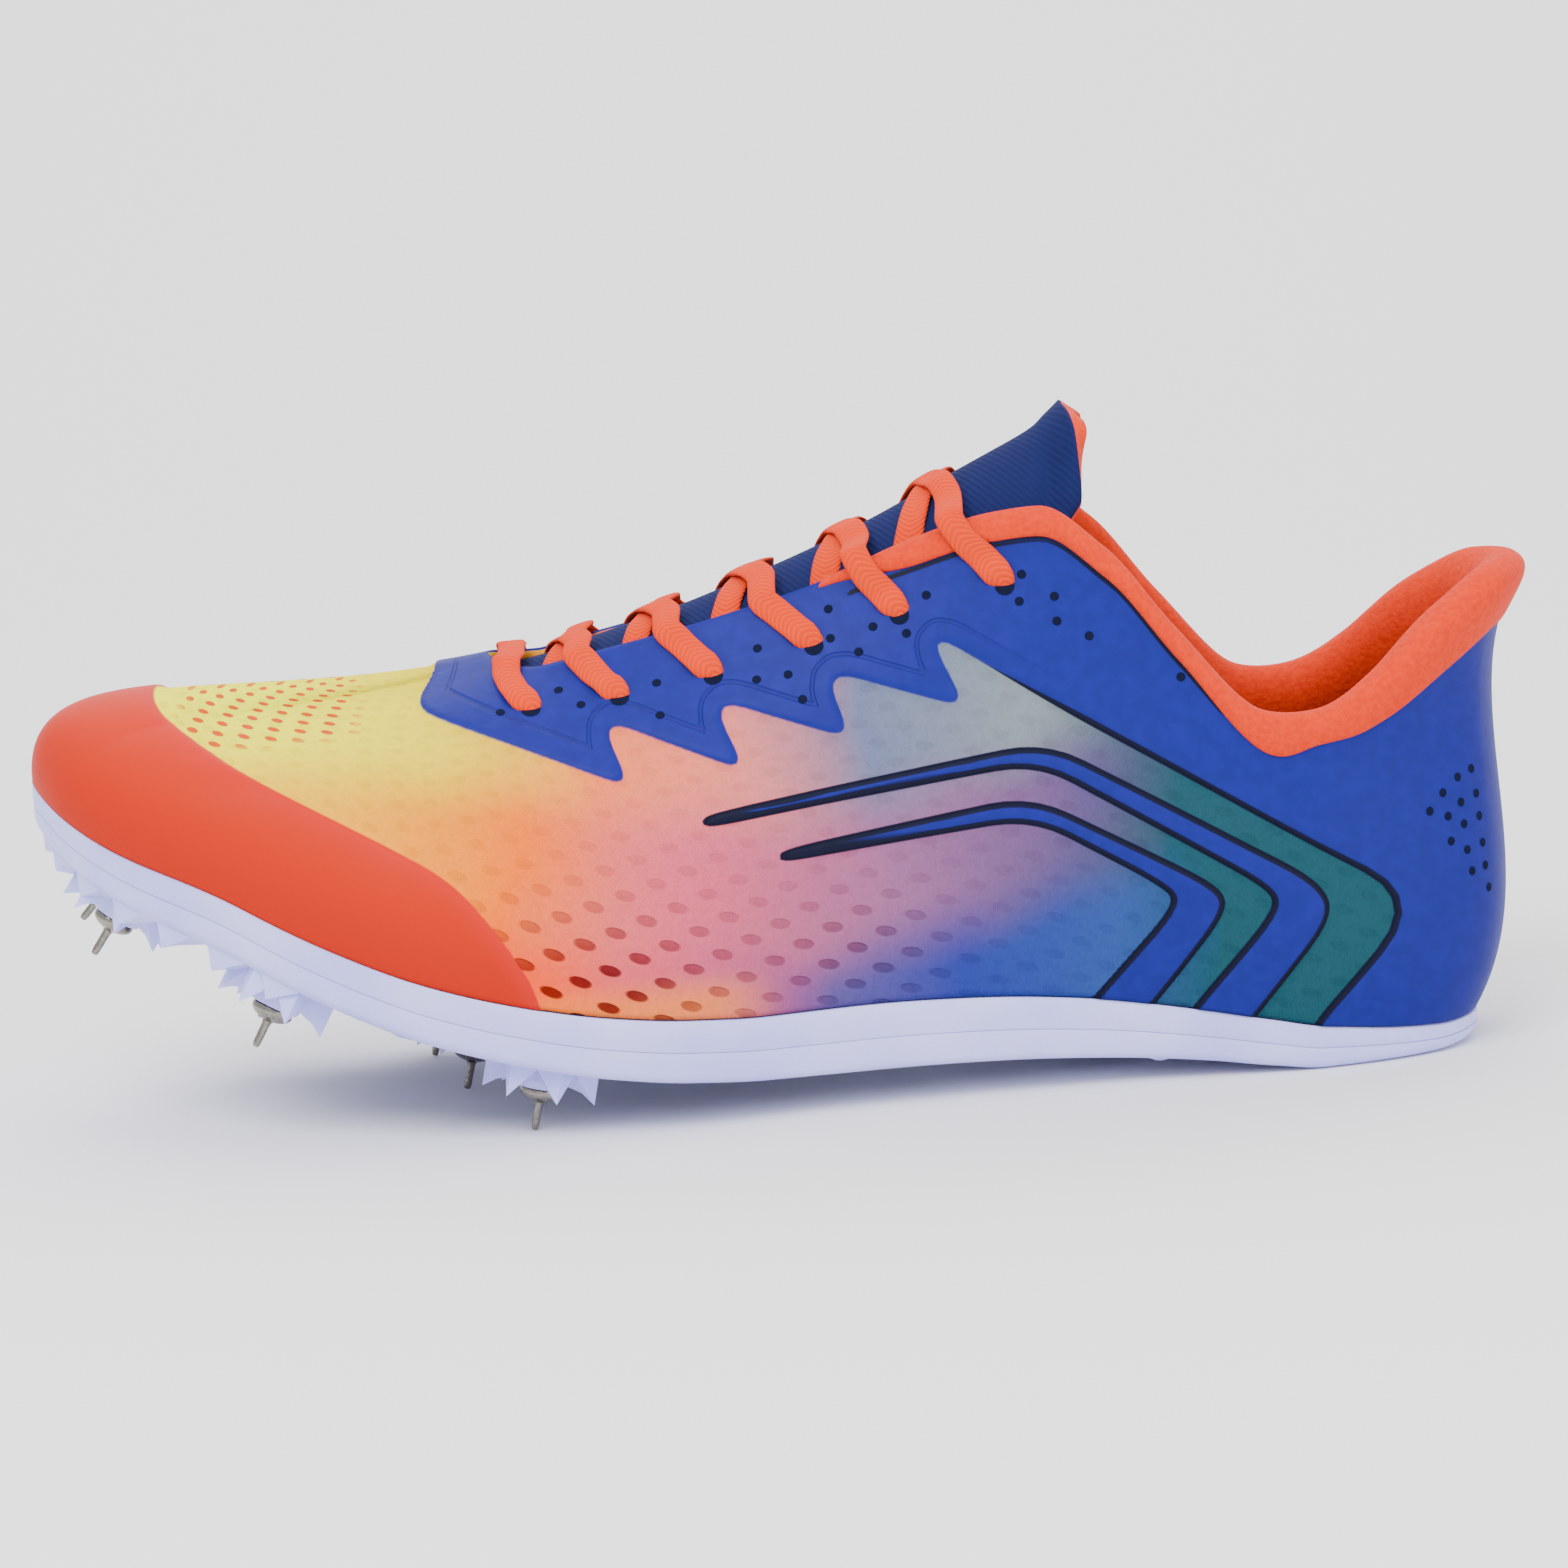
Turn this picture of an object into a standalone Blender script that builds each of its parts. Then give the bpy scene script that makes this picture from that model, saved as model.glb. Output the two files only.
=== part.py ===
"""Left sprint shoe with seven spikes: a thin moulded outsole with fish-bone windows and
spiked cleats, a foam midsole, a board that shows through the windows, an insole, a knitted
upper with moulded overlays, a padded collar, a tongue and flat laces.

Metres, +Z up. The toe points along -X and the outer (lateral) side faces -Y. The origin is
on the floor under the middle of the shoe, which stands on its ball spikes and its heel.
"""

import math

import bmesh
import bpy
import numpy as np
from mathutils import Matrix, Vector

# Sizes of the shoe, in metres
SOLE_LENGTH = 0.2795
BALL_WIDTH = 0.095
TOE_LIFT = 0.0585
BAND_HEIGHT = 0.013
INSTEP_HEIGHT = 0.110
HEEL_HEIGHT = 0.0915
HEEL_OVERHANG = 0.013
CLEARANCE = 0.0003

# Sole: plate, rim, board, foam and insole
PLATE = 0.0024
PLATE_BEVEL = 0.0024
RIM_WIDTH = 0.0054
RIM_SLOPE = 0.0040
SEAM_SHARE = 0.5
BOARD = 0.001
DECK_HEIGHT = 0.0063
INSOLE = 0.0025
INSOLE_INSET = 0.0046
BALL_SKEW = 0.32
SOLE_STATIONS = 26

# Fish-bone windows, cleats and spikes
RIB_WIDTH = 0.0060
BOSS_RADIUS = 0.0046
BOSS_HEIGHT = 0.0050
CLEAT_RADIUS = 0.0100
CLEAT_HEIGHT = 0.0063
CLEAT_TEETH = 6
EDGE_TOOTH = 0.0042
EDGE_TOOTH_PITCH = 0.0108
EDGE_TOOTH_INSET = 0.0052
SPIKE_FLANGE = 0.0041
SPIKE_DOME = 0.0027
PIN_RADIUS = 0.0008
BALL_LINE = 0.306

# Upper, collar, overlays, tongue and lace
WALL = 0.0018
UPPER_INSET = 0.0010
UPPER_RIBS = 30
UPPER_ROWS = 10
OVERLAY = 0.0008
COLLAR_BAND = 0.0052
HEEL_BAND = 0.0105
LINING = 0.0012
COLLAR_PAD = 0.0042
COLLAR_CREST = 0.0012
LINING_DEPTH = 0.016
TONGUE = 0.0040
TONGUE_HEIGHT = 0.129
LACE_WIDTH = 0.0063
LACE_THICKNESS = 0.0012
EYELET_DROP = 0.0122
EYELET_TURNS = (0.315, 0.388, 0.438, 0.485, 0.525, 0.580)

LATERAL, MEDIAL = -1, 1


def table(columns, *rows):
    """Rows of numbers under named columns."""
    values = np.array(rows, float)
    return {name: values[:, i] for i, name in enumerate(columns.split())}


def smooth(xs, ys, x, level_ends=False):
    """A smooth curve through the rows that never swings past them."""
    steps = np.diff(xs)
    rises = np.diff(ys) / steps
    before, after = rises[:-1], rises[1:]
    agree = before * after > 0
    weight_before = 2 * steps[1:] + steps[:-1]
    weight_after = steps[1:] + 2 * steps[:-1]
    safe_before = np.where(agree, before, 1)
    safe_after = np.where(agree, after, 1)
    mean = (weight_before + weight_after) / (weight_before / safe_before + weight_after / safe_after)
    slopes = np.concatenate([[rises[0]], np.where(agree, mean, 0), [rises[-1]]])
    if level_ends:
        slopes[[0, -1]] = 0
    x = np.clip(x, xs[0], xs[-1])
    i = np.clip(np.searchsorted(xs, x, side="right") - 1, 0, len(steps) - 1)
    t = (x - xs[i]) / steps[i]
    return (
        ys[i] * (1 + 2 * t) * (1 - t) ** 2
        + slopes[i] * steps[i] * t * (1 - t) ** 2
        + ys[i + 1] * t**2 * (3 - 2 * t)
        + slopes[i + 1] * steps[i] * t**2 * (t - 1)
    )


# Outline of the sole: half widths either side of the line from toe tip to heel end, as
# shares of the ball width, at shares of the length.
OUTLINE = table(
    "along lateral medial",
    (0.000, 0.000, 0.000),
    (0.010, 0.120, 0.100),
    (0.028, 0.213, 0.160),
    (0.066, 0.326, 0.243),
    (0.130, 0.432, 0.330),
    (0.200, 0.499, 0.400),
    (0.270, 0.549, 0.434),
    (0.345, 0.564, 0.376),
    (0.420, 0.541, 0.265),
    (0.530, 0.447, 0.185),
    (0.600, 0.404, 0.187),
    (0.680, 0.368, 0.226),
    (0.756, 0.341, 0.276),
    (0.830, 0.328, 0.326),
    (0.870, 0.316, 0.338),
    (0.906, 0.294, 0.324),
    (0.955, 0.240, 0.253),
    (0.993, 0.130, 0.124),
    (1.000, 0.000, 0.000),
)

# Underside of the sole above the floor, as shares of the toe's lift.
ROCKER = table(
    "along lift",
    (-0.10, 1.300),
    (0.000, 1.000),
    (0.035, 0.872),
    (0.070, 0.738),
    (0.110, 0.598),
    (0.159, 0.464),
    (0.218, 0.342),
    (0.280, 0.255),
    (0.339, 0.194),
    (0.400, 0.154),
    (0.460, 0.133),
    (0.524, 0.127),
    (0.600, 0.123),
    (0.664, 0.114),
    (0.735, 0.091),
    (0.803, 0.056),
    (0.848, 0.022),
    (0.885, 0.000),
    (0.965, 0.000),
    (1.000, 0.020),
)

# Height of the sole's white side, as shares of its tallest part at the arch.
BAND = table(
    "along height",
    (0.00, 0.69),
    (0.10, 0.81),
    (0.20, 0.87),
    (0.30, 0.89),
    (0.40, 0.92),
    (0.50, 0.96),
    (0.58, 1.00),
    (0.65, 0.98),
    (0.72, 0.92),
    (0.79, 0.80),
    (0.87, 0.68),
    (0.94, 0.50),
    (1.00, 0.38),
)

# Sections of the upper from toe (turn 0) to heel (turn 1). The edge of the throat and
# collar: its place along the sole's length, its centre and half width as shares of the ball
# width, and its level as a share of the instep's height that turns into the heel's. The wall
# leaves the sole with a rise and a lean outward, and meets the edge with a reach and a
# slope downward: rise and reach are shares of the instep's height, the angles are degrees.
SECTIONS = table(
    "turn along centre half level heel rise lean_lateral lean_medial reach slope",
    (0.000, 0.324, -0.042, 0.000, 0.785, 0.0, 0.236, 2, 2, 0.455, 10),
    (0.111, 0.327, -0.042, 0.040, 0.782, 0.0, 0.218, 3, 3, 0.436, 12),
    (0.188, 0.334, -0.042, 0.084, 0.775, 0.0, 0.218, 6, 5, 0.382, 17),
    (0.287, 0.356, -0.044, 0.121, 0.771, 0.0, 0.236, 9, 8, 0.291, 30),
    (0.362, 0.399, -0.046, 0.137, 0.795, 0.0, 0.264, 9, 9, 0.236, 46),
    (0.420, 0.463, -0.050, 0.147, 0.832, 0.0, 0.282, 9, 14, 0.236, 56),
    (0.471, 0.535, -0.050, 0.163, 0.882, 0.0, 0.291, 9, 20, 0.245, 64),
    (0.525, 0.614, -0.042, 0.189, 0.950, 0.0, 0.309, 9, 24, 0.255, 72),
    (0.570, 0.674, -0.030, 0.216, 0.992, 0.0, 0.327, 9, 22, 0.264, 78),
    (0.600, 0.707, -0.024, 0.237, 1.000, 0.0, 0.336, 9, 20, 0.273, 81),
    (0.638, 0.750, -0.016, 0.268, 0.923, 0.0, 0.309, 9, 17, 0.245, 84),
    (0.679, 0.796, -0.008, 0.295, 0.818, 0.2, 0.255, 9, 14, 0.209, 86),
    (0.725, 0.846, 0.000, 0.321, 0.713, 0.5, 0.218, 10, 12, 0.182, 88),
    (0.765, 0.889, 0.004, 0.326, 0.719, 0.8, 0.200, 12, 12, 0.164, 92),
    (0.817, 0.936, 0.004, 0.300, 0.821, 1.0, 0.218, 16, 15, 0.182, 102),
    (0.880, 0.984, 0.003, 0.240, 0.929, 1.0, 0.245, 22, 21, 0.218, 115),
    (0.943, 1.024, 0.001, 0.146, 0.989, 1.0, 0.264, 30, 29, 0.245, 124),
    (1.000, 1.042, 0.000, 0.000, 1.000, 1.0, 0.273, 34, 34, 0.255, 127),
)

# Windows between the ribs: start and end beside the spine, how far a rib sweeps back by
# the time it reaches the rim, as shares of the length, and the spine's centre, its half
# width and the windows' outer limits from the sole's axis, as shares of the ball width.
WINDOWS = table(
    "start end lateral_sweep medial_sweep spine spine_half lateral_limit medial_limit",
    (0.098, 0.135, 0.020, 0.020, 0.004, 0.026, 0.230, 0.215),
    (0.159, 0.204, 0.030, 0.034, -0.004, 0.038, 0.350, 0.300),
    (0.227, 0.285, 0.043, 0.036, -0.022, 0.048, 0.400, 0.300),
    (0.315, 0.366, 0.040, 0.030, -0.060, 0.056, 0.390, 0.220),
    (0.388, 0.446, 0.042, 0.024, -0.080, 0.056, 0.350, 0.130),
    (0.466, 0.522, 0.036, 0.018, -0.096, 0.048, 0.295, 0.075),
    (0.545, 0.594, 0.031, 0.017, -0.100, 0.042, 0.245, 0.055),
    (0.621, 0.667, 0.026, 0.014, -0.083, 0.036, 0.195, 0.052),
    (0.692, 0.724, 0.020, 0.012, -0.060, 0.034, 0.150, 0.055),
)

# Spikes off the ball line: place along the length and from the axis as shares.
OTHER_SPIKES = {
    "spike_centre": (0.299, -0.033),
    "spike_lateral_front": (0.176, -0.353),
    "spike_medial_front": (0.156, 0.293),
    "spike_toe_lateral": (0.066, -0.136),
    "spike_toe_medial": (0.053, 0.141),
}
BALL_SPIKES = {"spike_ball_lateral": -0.404, "spike_ball_medial": 0.337}

# Overlay outlines seen from the side: shares of the sole's length and the instep's height.
# Each is cut through both sides of the shoe, and runs on past the form that it cuts.
TOE_CAP = (
    (0.080, 1.200), (0.086, 0.755), (0.098, 0.705), (0.129, 0.663), (0.190, 0.604),
    (0.251, 0.523), (0.293, 0.446), (0.320, 0.341), (0.343, 0.243), (0.355, 0.000),
    (-0.200, 0.000), (-0.200, 1.200),
)
QUARTER = (
    (0.300, 1.300), (0.289, 0.770), (0.274, 0.727), (0.410, 0.610), (0.406, 0.692),
    (0.489, 0.620), (0.485, 0.717), (0.567, 0.664), (0.568, 0.747), (0.645, 0.700),
    (0.637, 0.788), (0.936, 0.317), (0.948, 0.274), (0.883, 0.098), (0.830, -0.100),
    (1.300, -0.100), (1.300, 1.300),
)
OUTER_CHEVRON = (
    (0.469, 0.523), (0.469, 0.535), (0.701, 0.613), (0.880, 0.342), (0.892, 0.281),
    (0.837, 0.114), (0.780, -0.060), (0.735, -0.060), (0.795, 0.130), (0.855, 0.298),
    (0.849, 0.338), (0.695, 0.586),
)
INNER_CHEVRON = (
    (0.519, 0.454), (0.519, 0.466), (0.689, 0.523), (0.812, 0.344), (0.819, 0.304),
    (0.769, 0.152), (0.700, -0.040), (0.655, -0.040), (0.725, 0.155), (0.788, 0.321),
    (0.776, 0.356), (0.690, 0.492),
)

# Crown of the tongue over the edges beside it, as shares of the instep's height.
TONGUE_CROWN = table(
    "turn crown",
    (0.000, 0.002),
    (0.188, 0.012),
    (0.287, 0.024),
    (0.362, 0.030),
    (0.420, 0.038),
    (0.471, 0.055),
    (0.525, 0.075),
    (0.570, 0.105),
    (0.600, 0.135),
)
# Middle of a lace above the tongue on its way across, in thicknesses of the lace.
LACE_LIFTS = table(
    "share lift",
    (0.10, 3.1),
    (0.50, 1.60),
    (0.80, 1.20),
)
TONGUE_RIBS = (0, 3, 6, 9, 11, 13, 14, 15, 16, 17, 18)
COLLAR_START = 0.49

TOE_X = -(SOLE_LENGTH + HEEL_OVERHANG) / 2
AXIS_Y = (OUTLINE["lateral"].max() - OUTLINE["medial"].max()) / 2 * BALL_WIDTH
HALF_SPAN = 0.5 * BALL_WIDTH


def x_at(along):
    return TOE_X + along * SOLE_LENGTH


def share_of_turn(turn):
    """Place along the sole for a share of the way round its side, close at the ends."""
    return (1 - np.cos(np.pi * turn)) / 2


def half_width(side, turn):
    """Half width of the sole on one side, round at toe and heel."""
    turns = np.arccos(1 - 2 * OUTLINE["along"]) / np.pi
    shares = OUTLINE["lateral" if side < 0 else "medial"]
    return smooth(turns, shares, turn) * BALL_WIDTH


def rocker(x, y):
    """Underside of the plate: curved along the sole, and skewed across it at the ball."""
    along = (x - TOE_X) / SOLE_LENGTH
    rises = smooth(np.array([0.0, 0.16, 0.45, 0.62]), np.array([0.0, 1.0, 1.0, 0.0]), along, True)
    skewed = along + BALL_SKEW * (y - AXIS_Y) / SOLE_LENGTH * rises
    return smooth(ROCKER["along"], ROCKER["lift"], skewed) * TOE_LIFT


def rocker_down(x, y):
    """The direction that points straight out of the underside."""
    step = 0.001
    slope_x = (rocker(x + step, y) - rocker(x - step, y)) / (2 * step)
    slope_y = (rocker(x, y + step) - rocker(x, y - step)) / (2 * step)
    return Vector((float(slope_x), float(slope_y), -1)).normalized()


def band_height(turn):
    return smooth(BAND["along"], BAND["height"], share_of_turn(turn)) * BAND_HEIGHT


def material(name, colour, roughness, metallic=0.0):
    made = bpy.data.materials.new(name)
    made.use_nodes = True
    shader = made.node_tree.nodes["Principled BSDF"]
    shader.inputs["Base Color"].default_value = (*colour, 1)
    shader.inputs["Roughness"].default_value = roughness
    shader.inputs["Metallic"].default_value = metallic
    return made


def new_object(name, mesh, finish, group):
    piece = bpy.data.objects.new(name, mesh)
    piece.data.materials.append(finish)
    group.objects.link(piece)
    return piece


def mesh_from(name, points, faces):
    """A mesh with its doubled points merged and its flattened faces dropped."""
    mesh = bpy.data.meshes.new(name)
    mesh.from_pydata([tuple(p) for p in points], [], [tuple(f) for f in faces])
    work = bmesh.new()
    work.from_mesh(mesh)
    bmesh.ops.remove_doubles(work, verts=work.verts, dist=1e-6)
    bmesh.ops.dissolve_degenerate(work, edges=work.edges, dist=1e-7)
    bmesh.ops.triangulate(work, faces=work.faces)
    bmesh.ops.recalc_face_normals(work, faces=work.faces)
    work.to_mesh(mesh)
    work.free()
    mesh.shade_smooth()
    mesh.set_sharp_from_angle(angle=math.radians(35))
    return mesh


def grid_faces(rows, columns, wrap_rows=False, wrap_columns=False):
    """Quads over a grid of points stored row by row."""
    faces = []
    for i in range(rows if wrap_rows else rows - 1):
        for j in range(columns if wrap_columns else columns - 1):
            a, b = i * columns + j, i * columns + (j + 1) % columns
            c, d = ((i + 1) % rows) * columns + (j + 1) % columns, ((i + 1) % rows) * columns + j
            faces.append((a, b, c, d))
    return faces


def layer(name, profile, finish, group):
    """A sheet of the sole. Its profile runs from the middle of the underside out to the
    edge and back over the top: each entry is an inset from the outline, a share of the
    half width that the inset leaves, and a height above the rocker as a function of turn."""
    turns = np.linspace(0, 1, SOLE_STATIONS + 1)
    middle = TOE_X + SOLE_LENGTH / 2
    full_inset = 2.8 * (RIM_WIDTH + RIM_SLOPE) / 2

    def ring(side, inset, share, height):
        width = half_width(side, turns)
        left = np.where(width > full_inset, width - inset, width * (1 - inset / full_inset))
        x = middle + (x_at(share_of_turn(turns)) - middle) * (1 - 2 * inset / SOLE_LENGTH)
        y = AXIS_Y + side * share * left
        return np.stack([x, y, rocker(x, y) + height(turns)], axis=1)

    lateral = [ring(LATERAL, *entry) for entry in profile]
    medial = [ring(MEDIAL, *entry) for entry in profile[-2:0:-1]]
    loops = np.stack(lateral + medial, axis=1)
    faces = grid_faces(len(turns), loops.shape[1], wrap_columns=True)
    return new_object(name, mesh_from(name, loops.reshape(-1, 3), faces), finish, group)


def across(inset, outer_height, inner_height, step=RIM_WIDTH):
    """Profile entries from the edge to the middle, with a rim that steps to the inside."""
    return [
        (inset, 1, outer_height),
        (max(inset, step), 1, outer_height),
        (step + RIM_SLOPE, 1, inner_height),
        (step + RIM_SLOPE, 0, inner_height),
    ]


def seam_height(turn):
    return np.maximum(SEAM_SHARE * band_height(turn), PLATE)


def plate_top(turn):
    return np.full_like(turn, PLATE)


def board_top(turn):
    return np.full_like(turn, PLATE + CLEARANCE + BOARD)


def deck(turn):
    """Top of the foam inside the rim, where the insole lies."""
    return np.minimum(np.full_like(turn, DECK_HEIGHT), band_height(turn))


def raised(height, by):
    return lambda turn: height(turn) + by


def make_sole(finishes, group, cutters):
    floor = raised(plate_top, -PLATE)
    outsole = layer(
        "outsole",
        across(PLATE_BEVEL, floor, floor)[::-1]
        + [(0, 1, raised(floor, PLATE_BEVEL * 0.8))]
        + across(0, seam_height, plate_top),
        finishes["sole"],
        group,
    )
    board_inset = RIM_WIDTH + RIM_SLOPE + CLEARANCE
    board_under = raised(plate_top, CLEARANCE)
    layer(
        "base_board",
        [(board_inset, share, board_under) for share in (0, 1)]
        + [(board_inset, share, board_top) for share in (1, 0)],
        finishes["board"],
        group,
    )
    foam_under = across(0, raised(seam_height, CLEARANCE), raised(board_top, CLEARANCE))
    layer(
        "midsole",
        foam_under[::-1] + across(0, band_height, deck),
        finishes["foam"],
        group,
    )
    insole_under = across(INSOLE_INSET, raised(band_height, CLEARANCE), raised(deck, CLEARANCE))
    layer(
        "insole",
        insole_under[::-1]
        + across(INSOLE_INSET, raised(band_height, INSOLE), raised(deck, CLEARANCE + INSOLE)),
        finishes["insole"],
        group,
    )
    cut_windows(outsole, cutters)
    add_cleats(outsole, cutters)
    return outsole


def prism(name, outline, low, high, axis, group):
    """A cutter: an outline drawn across two axes and run along the third."""
    mesh = bpy.data.meshes.new(name)
    work = bmesh.new()
    place = {
        "Y": lambda p, depth: (p[0], depth, p[1]),
        "Z": lambda p, depth: (p[0], p[1], depth),
    }[axis]
    ends = [[work.verts.new(place(p, depth)) for p in outline] for depth in (low, high)]
    work.faces.new(ends[0])
    work.faces.new(ends[1])
    for i in range(len(outline)):
        j = (i + 1) % len(outline)
        work.faces.new((ends[0][i], ends[0][j], ends[1][j], ends[1][i]))
    bmesh.ops.recalc_face_normals(work, faces=work.faces)
    work.to_mesh(mesh)
    work.free()
    return helper(name, mesh, group)


def helper(name, mesh, group):
    piece = bpy.data.objects.new(name, mesh)
    piece.hide_render = True
    piece.display_type = "WIRE"
    group.objects.link(piece)
    return piece


def boolean(piece, operation, other):
    step = piece.modifiers.new(f"{operation.lower()}_{other.name}", "BOOLEAN")
    step.operation = operation
    if isinstance(other, bpy.types.Collection):
        step.operand_type = "COLLECTION"
        step.collection = other
    else:
        step.object = other


def sub_collection(name, parent):
    made = bpy.data.collections.new(name)
    parent.children.link(made)
    return made


def cut_windows(outsole, cutters):
    """Openings between the ribs, swept back from the spine on both sides."""
    windows = sub_collection("windows", cutters)
    count = len(WINDOWS["start"])
    for i in range(count):
        row = {name: values[i] for name, values in WINDOWS.items()}
        for side, word in ((LATERAL, "lateral"), (MEDIAL, "medial")):
            inner = AXIS_Y + (row["spine"] + side * row["spine_half"]) * BALL_WIDTH
            outer = AXIS_Y + side * row[f"{word}_limit"] * BALL_WIDTH
            if side * (outer - inner) < RIB_WIDTH / 2:
                outer = inner + side * RIB_WIDTH / 2
            bow = 0.35 * row[f"{word}_sweep"]
            corners = [
                (x_at(row["start"]), inner),
                (x_at(row["end"]), inner),
                (x_at(row["end"] + bow), (inner + outer) / 2),
                (x_at(row["end"] + row[f"{word}_sweep"]), outer),
                (x_at(row["start"] + row[f"{word}_sweep"]), outer),
                (x_at(row["start"] + bow), (inner + outer) / 2),
            ]
            prism(f"window_{word}_{i}", corners, -PLATE, TOE_LIFT + BAND_HEIGHT, "Z", windows)
    boolean(outsole, "DIFFERENCE", windows)


def spike_places():
    """Foot of each spike on the underside. Both ball spikes sit on one line of the rocker,
    so that their tips meet the floor together."""
    places = {
        name: (x_at(along), AXIS_Y + share * BALL_WIDTH)
        for name, (along, share) in OTHER_SPIKES.items()
    }
    for name, share in BALL_SPIKES.items():
        along = BALL_LINE - BALL_SKEW * share * BALL_WIDTH / SOLE_LENGTH
        places[name] = (x_at(along), AXIS_Y + share * BALL_WIDTH)
    return places


def on_underside(x, y):
    """Local frame on the underside whose +Z points out of the sole."""
    down = rocker_down(x, y)
    turn = down.to_track_quat("Z", "Y").to_matrix().to_4x4()
    return Matrix.Translation((x, y, float(rocker(x, y)))) @ turn


def pin_length():
    """Long enough that the ball spikes stand on the floor."""
    x, y = spike_places()["spike_ball_lateral"]
    down = rocker_down(x, y)
    lift = float(rocker(x, y)) - PIN_RADIUS * math.hypot(down.x, down.y)
    return lift / -down.z - BOSS_HEIGHT - CLEARANCE - SPIKE_DOME


def cleat_mesh():
    """A boss for the spike inside a ring of pointed teeth with hollows between them."""
    sides = 2 * CLEAT_TEETH
    rings = []
    for i in range(sides):
        tooth = i % 2 == 0
        angle = math.pi * i / CLEAT_TEETH
        radii = (
            (BOSS_RADIUS, BOSS_HEIGHT),
            (CLEAT_RADIUS * (0.84 if tooth else 0.62), CLEAT_HEIGHT if tooth else BOSS_HEIGHT * 0.55),
            (CLEAT_RADIUS * (1.0 if tooth else 0.80), -PLATE / 2),
        )
        rings.append([(r * math.cos(angle), r * math.sin(angle), h) for r, h in radii])
    points = [p for ring in rings for p in ring]
    faces = grid_faces(sides, 3, wrap_rows=True)
    faces.append(tuple(3 * i for i in range(sides)))
    faces.append(tuple(3 * i + 2 for i in reversed(range(sides))))
    return mesh_from("cleat", points, faces)


def edge_teeth():
    """Pointed teeth round the toe and forefoot edge, at an even pitch."""
    first, last = -0.285, 0.315
    turns = np.linspace(first, last, 241)
    sides = np.where(turns < 0, LATERAL, MEDIAL)
    inset = EDGE_TOOTH_INSET
    x = x_at(share_of_turn(np.abs(turns))) + inset * np.clip(1 - np.abs(turns) / 0.2, 0, 1)
    width = np.where(turns < 0, half_width(LATERAL, np.abs(turns)), half_width(MEDIAL, np.abs(turns)))
    y = AXIS_Y + sides * np.maximum(width - inset, 0)
    way = np.concatenate([[0], np.cumsum(np.hypot(np.diff(x), np.diff(y)))])
    stops = np.arange(EDGE_TOOTH_PITCH / 2, way[-1], EDGE_TOOTH_PITCH)
    return [(float(np.interp(w, way, x)), float(np.interp(w, way, y))) for w in stops]


def tooth_mesh():
    base = EDGE_TOOTH * 0.9
    corners = [(-base, -base * 0.7), (base, -base * 0.7), (base, base * 0.7), (-base, base * 0.7)]
    points = [(cx, cy, -PLATE / 2) for cx, cy in corners] + [(base * 0.5, 0, EDGE_TOOTH)]
    faces = [(0, 1, 2, 3), (0, 1, 4), (1, 2, 4), (2, 3, 4), (3, 0, 4)]
    return mesh_from("edge_tooth", points, faces)


def add_cleats(outsole, cutters):
    lugs = sub_collection("lugs", cutters)
    cleat, tooth = cleat_mesh(), tooth_mesh()
    places = spike_places()
    for name, (x, y) in places.items():
        helper(name.replace("spike", "cleat"), cleat, lugs).matrix_world = on_underside(x, y)
    for i, (x, y) in enumerate(edge_teeth()):
        nearest = min(math.hypot(x - px, y - py) for px, py in places.values())
        if nearest > CLEAT_RADIUS:
            helper(f"tooth_{i}", tooth, lugs).matrix_world = on_underside(x, y)
    boolean(outsole, "UNION", lugs)


def make_spikes(finish, group):
    """Turned steel spikes: a flange with a domed head and a fine pin."""
    pin = pin_length()
    foot = BOSS_HEIGHT + CLEARANCE
    profile = [
        (0, foot + SPIKE_DOME + pin),
        (PIN_RADIUS, foot + SPIKE_DOME + pin),
        (PIN_RADIUS, foot + SPIKE_DOME),
        (SPIKE_FLANGE * 0.7, foot + SPIKE_DOME * 0.7),
        (SPIKE_FLANGE, foot),
        (0, foot),
    ]
    for name, (x, y) in spike_places().items():
        mesh = bpy.data.meshes.new(name)
        mesh.from_pydata([(r, 0, h) for r, h in profile], [(i, i + 1) for i in range(5)], [])
        spike = new_object(name, mesh, finish, group)
        spike.matrix_world = on_underside(x, y)
        turned = spike.modifiers.new("turned", "SCREW")
        turned.steps = turned.render_steps = 8
        turned.use_merge_vertices = True
        turned.merge_threshold = 1e-5


def side_and_turn(q):
    """The way round the shoe, 0 to 2: out along the lateral side, back along the medial."""
    q = np.mod(q, 2)
    return np.where(q <= 1, LATERAL, MEDIAL), np.where(q <= 1, q, 2 - q)


def of_section(name, turn):
    return smooth(SECTIONS["turn"], SECTIONS[name], turn, level_ends=name != "half")


def feather(q):
    """Foot of the upper's wall, on the rim of the sole."""
    side, turn = side_and_turn(q)
    width = np.where(side < 0, half_width(LATERAL, turn), half_width(MEDIAL, turn))
    middle = TOE_X + SOLE_LENGTH / 2
    x = middle + (x_at(share_of_turn(turn)) - middle) * (1 - 2 * UPPER_INSET / SOLE_LENGTH)
    y = AXIS_Y + side * width * (1 - UPPER_INSET / HALF_SPAN)
    return np.stack([x, y, rocker(x, y) + band_height(turn) + CLEARANCE], axis=-1)


def collar_edge(q):
    """Edge of the throat and the collar."""
    side, turn = side_and_turn(q)
    heel = of_section("heel", turn)
    x = x_at(of_section("along", turn))
    y = AXIS_Y + (of_section("centre", turn) + side * of_section("half", turn)) * BALL_WIDTH
    z = of_section("level", turn) * (INSTEP_HEIGHT * (1 - heel) + HEEL_HEIGHT * heel)
    return np.stack([x, y, z], axis=-1)


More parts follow.
